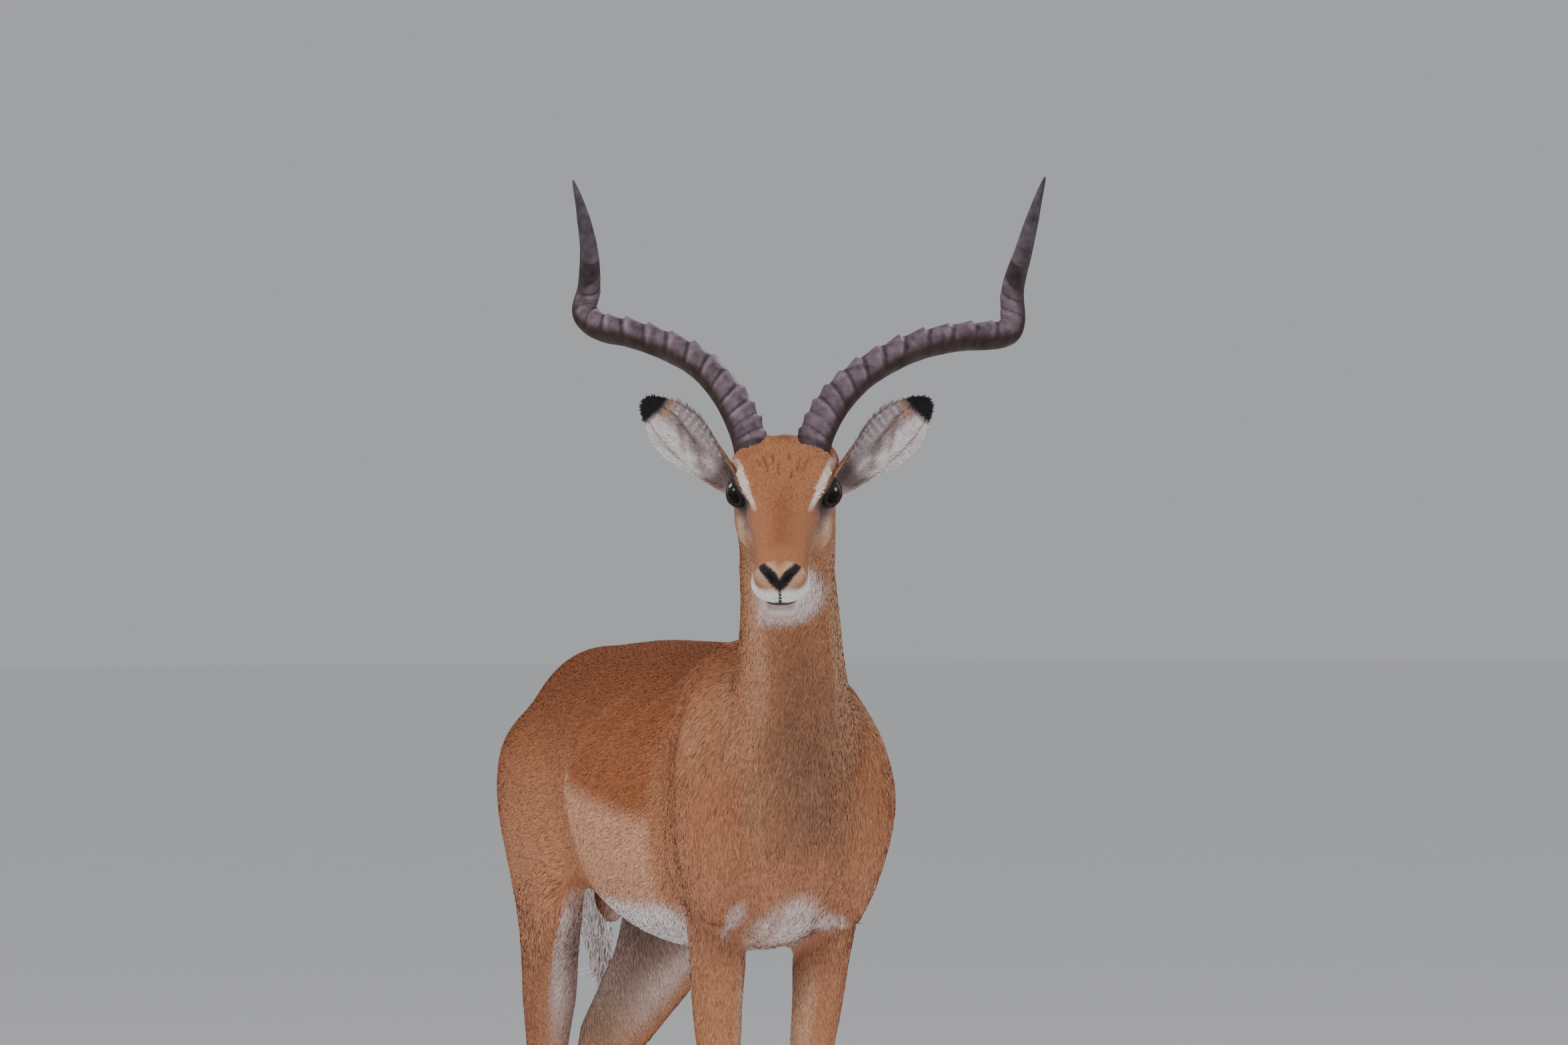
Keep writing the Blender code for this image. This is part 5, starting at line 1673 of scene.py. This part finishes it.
def bare_places(points):
    """Where no hair grows: nose, lips, lids, horn bases and hooves."""
    left = folded(head_coordinates(points))
    side, back, up = left.T
    bare = distance_to_line(np.stack([side, face_height(left)], -1), NOSTRIL_FRONT) < NOSE_BARE
    bare &= back < 0.020
    over, present = mouth_line(left)
    bare |= (np.abs(over) < 0.0012 + 0.0018 * fall(side, 0.004, 0.016)) & (present > 0.4)
    bare |= (side < 0.0019) & (back < 0.012) & (up < -0.014) & (over > 0)
    measure, distance, _ = lid_measure(left)
    bare |= (measure < 1.10) & (distance < 0.030)
    bare &= headward(points) > 0.0
    for name, side_sign in SIDES:
        bare |= np.linalg.norm(points - horn_foot(name, side_sign), axis=1) < HORN_BARE
    return bare | (points[:, 2] < HOOF_LINE)


def blades(roots, normals, lie, size, dice):
    """Five points of each tuft: two at its root, two where it is widest, and its tip a little raised."""
    length, width, height = size
    count = len(roots)
    side = np.cross(normals, lie)
    length = (length * dice.uniform(0.72, 1.20, count))[:, None]
    half = (width * dice.uniform(0.38, 0.62, count))[:, None]
    height = (height * dice.uniform(0.45, 1.15, count))[:, None]
    sag = normals * height * dice.uniform(-0.22, 0.22, count)[:, None]
    out = np.empty((count, 5, 3))
    out[:, 0] = roots - side * half * 0.8 - normals * ROOT_DEPTH
    out[:, 1] = roots + side * half * 0.8 - normals * ROOT_DEPTH
    out[:, 2] = roots + lie * length * 0.5 + side * half + normals * height + sag
    out[:, 3] = roots + lie * length * 0.5 - side * half + normals * height - sag
    out[:, 4] = roots + lie * length + normals * height * dice.uniform(-0.2, 0.5, count)[:, None]
    return out.reshape(-1, 3)


def tufts(name, roots, normals, lie, size, colour, places, dice):
    """Flat blades of hair, each rooted in the skin and lying along it. Size is length, width and height."""
    count = len(roots)
    lie = lie + dice.normal(size=(count, 3)) * STRAY * np.linalg.norm(lie, axis=1)[:, None]
    lie = unit(lie - normals * np.sum(lie * normals, 1)[:, None])
    points = blades(roots, normals, lie, size, dice)
    first = np.arange(count)[:, None] * 5
    faces = np.hstack([first + corners for corners in ((0, 2, 1), (0, 3, 2), (3, 4, 2))]).reshape(-1)
    mesh = bpy.data.meshes.new(name)
    mesh.vertices.add(count * 5)
    mesh.vertices.foreach_set("co", moved(points).astype(np.float32).ravel())
    mesh.loops.add(count * 9)
    mesh.loops.foreach_set("vertex_index", faces.astype(np.int32))
    mesh.polygons.add(count * 3)
    mesh.polygons.foreach_set("loop_start", np.arange(count * 3, dtype=np.int32) * 3)
    mesh.update(calc_edges=True)
    shade = (dice.normal(size=count) * SHADE_SPREAD + 1).clip(0.5, 1.6)[:, None]
    warm = 1 + dice.normal(size=(count, 1)) * WARMTH_SPREAD * np.array((1.0, 0.0, -1.0))
    tones = (colour * shade * warm)[:, None, :] * np.array(TONE_ALONG)[None, :, None]
    write_colours(mesh, tones.reshape(-1, 3))
    patch = np.array(((-1, -1), (1, -1), (1, 0), (-1, 0), (0, 1))) * PATCH
    spread = (places[:, None, :] + patch).reshape(-1, 2)
    write_unwrap(mesh, np.clip(spread, 0, 1)[faces])
    tilt = unit(normals + dice.normal(size=(count, 3)) * 0.14 - lie * 0.10)
    mesh.polygons.foreach_set("use_smooth", np.ones(count * 3, bool))
    mesh.normals_split_custom_set_from_vertices(np.repeat(tilt, 5, 0))
    return linked(name, mesh)


def scattered(points, triangles, weights, count, dice):
    """Even random places over triangles: which triangle each is in, and its shares of the corners."""
    corners = points[triangles]
    area = np.linalg.norm(np.cross(corners[:, 1] - corners[:, 0], corners[:, 2] - corners[:, 0]), axis=1)
    total = np.cumsum(area * weights)
    picks = (np.arange(count) + dice.uniform(size=count)) / count * total[-1]
    chosen = np.searchsorted(total, picks).clip(0, len(total) - 1)
    a, b = dice.uniform(size=(2, count))
    over = a + b > 1
    a, b = np.where(over, 1 - a, a), np.where(over, 1 - b, b)
    return chosen, np.stack([1 - a - b, a, b], -1)


def mixed(corner_values, chosen, share):
    """Values at scattered places, from the values at the corners of their triangles."""
    return (corner_values[chosen] * share[:, :, None]).sum(1)


def grow_coat(points, normals, triangles, look):
    """The body's coat, region by region, on the skin's own shape."""
    regions = region_of(points[triangles].mean(1))
    for number, (name, slot, chosen, count, width) in enumerate(COATS):
        dice = np.random.default_rng(SEED * 10 + number)
        mine = np.isin(regions, chosen)
        faces, own = triangles[mine], regions[mine]
        places = unwrap(points, faces, own)
        middles = points[faces].mean(1)
        on_head_only = chosen == (0,)
        weights = np.ones(len(faces))
        if on_head_only:
            # The shorter the hairs are, the closer they stand.
            weights = BODY_HAIR / np.maximum(coat_length(middles), 0.0035)
        picked = scattered(points, faces, weights, count, dice)
        roots, facing = mixed(points[faces], *picked), unit(mixed(normals[faces], *picked))
        spots = mixed(places, *picked)
        keep = ~bare_places(roots)
        roots, facing, spots = roots[keep], facing[keep], spots[keep]
        left, ahead = folded(head_coordinates(roots)), headward(roots)
        length = coat_length(roots)
        height = np.minimum(coat_depth(roots, left, ahead) * 0.35, length * 0.085)
        narrow = width * np.clip(length / 0.006, 0.62, 1.0) if on_head_only else width
        size = (length, narrow, height)
        made = tufts(name, roots, facing, coat_lie(roots), size, coat_colour(roots, facing), spots, dice)
        finish(made, look, slot)


LEGS = ("foreleg_left", "foreleg_right", "hindleg_left", "hindleg_right")
FLESH = ["head", "neck", "trunk"] + [f"{leg}_{half}" for leg in LEGS for half in ("upper", "lower")]


def settle(piece, colours, regions=None, enlarged=1.0):
    """Colours and unwraps a shell of skin, and sets it in its place."""
    points, triangles = points_of(piece.data), triangles_of(piece.data)
    regions = np.zeros(len(triangles), int) if regions is None else regions
    write_colours(piece.data, colours)
    write_unwrap(piece.data, unwrap(points, triangles, regions, enlarged).reshape(-1, 2))
    put_points(piece.data, moved(points))


def build_pieces():
    """Every piece of the animal."""
    coat, hair = skin_material(), hair_material()
    skin = body_skin()
    points, normals, triangles = shape_of(skin.data)
    settle(skin, coat_colour(points, normals), region_of(points[triangles].mean(1)), 3.0)
    finish(skin, coat, "trunk_coat", *FLESH)
    grow_coat(points, normals, triangles, hair)

    core = tail_core()
    tail_hair(core, hair)
    settle(core, tail_colour(points_of(core.data), normals_of(core.data)))
    finish(core, coat, "tail_coat", "tail")

    horn_look, hoof_look = horn_material(), hoof_material()
    eye_look, lid_look = eye_material(), lid_material()
    for name, side in SIDES:
        finish(horn(name, side), horn_look, "horn", "horn_" + name)
        made, cells = ear(name, side)
        ear_hair(name, side, made, cells, hair)
        settle(made, ear_colour(cells))
        finish(made, coat, "ear_coat", "ear_" + name)
        finish(eyeball(name, side), eye_look, "eye", "eye_" + name)
        finish(lid_rim(name, side), lid_look, "eye")
    for leg in HOOVES:
        for place in ("inner", "outer"):
            finish(claw(leg, place), hoof_look, "hoof", f"claw_{leg}_{place}")


# ---------------- stage, camera and lights
FLOOR_REACH = 60
SKY, SKY_STRENGTH = (0.80, 0.82, 0.86, 1), 0.50
LENS, SENSOR = 246.1, 36.0
CAMERA_PLACE, CAMERA_TARGET = (-3.7085, -11.6875, 0.99), (-0.0005, -0.2745, 0.99)
LIT_PLACE = (0, 0, 0.95)

#    name        place              size  power  colour
LIGHTS = (
    ("key", (-1.6, -3.6, 4.2), 2.2, 200.0, (1.0, 0.97, 0.93)),
    ("side", (-4.2, -1.4, 2.1), 1.4, 34.0, (1.0, 0.98, 0.95)),
    ("fill", (3.9, -2.6, 2.2), 2.0, 76.0, (0.97, 0.98, 1.0)),
    ("rim_left", (2.8, 2.6, 3.4), 1.6, 80.0, (0.98, 0.98, 1.0)),
    ("rim_right", (-3.0, 2.4, 3.2), 1.6, 76.0, (1.0, 0.98, 0.95)),
)


def stage():
    """A wide floor under an even pale sky."""
    corners = [(x * FLOOR_REACH, y * FLOOR_REACH, 0) for x, y in ((-1, -1), (1, -1), (1, 1), (-1, 1))]
    floor = add_mesh("floor_pale", corners, [(0, 1, 2, 3)])
    floor.data.materials.append(floor_material())
    world = bpy.data.worlds.new("world")
    bpy.context.scene.world = world
    world.use_nodes = True
    back = world.node_tree.nodes["Background"]
    back.inputs["Color"].default_value = SKY
    back.inputs["Strength"].default_value = SKY_STRENGTH


def aim(obj, place, target):
    """Sets a camera or lamp at a place, looking at a target."""
    obj.location = place
    obj.rotation_euler = (Vector(target) - Vector(place)).to_track_quat("-Z", "Y").to_euler()


def camera_and_lights():
    """The camera at the photo's angle, and soft studio lamps."""
    lens = bpy.data.cameras.new("camera")
    lens.lens = LENS
    lens.sensor_width = SENSOR
    lens.clip_end = 100.0
    camera = linked("camera", lens)
    aim(camera, CAMERA_PLACE, CAMERA_TARGET)
    bpy.context.scene.camera = camera
    for name, place, size, power, colour in LIGHTS:
        lamp = bpy.data.lights.new(name, "AREA")
        lamp.shape = "DISK"
        lamp.size = size
        lamp.energy = power
        lamp.color = colour
        aim(linked(name, lamp), place, LIT_PLACE)


build_pieces()
stage()
camera_and_lights()
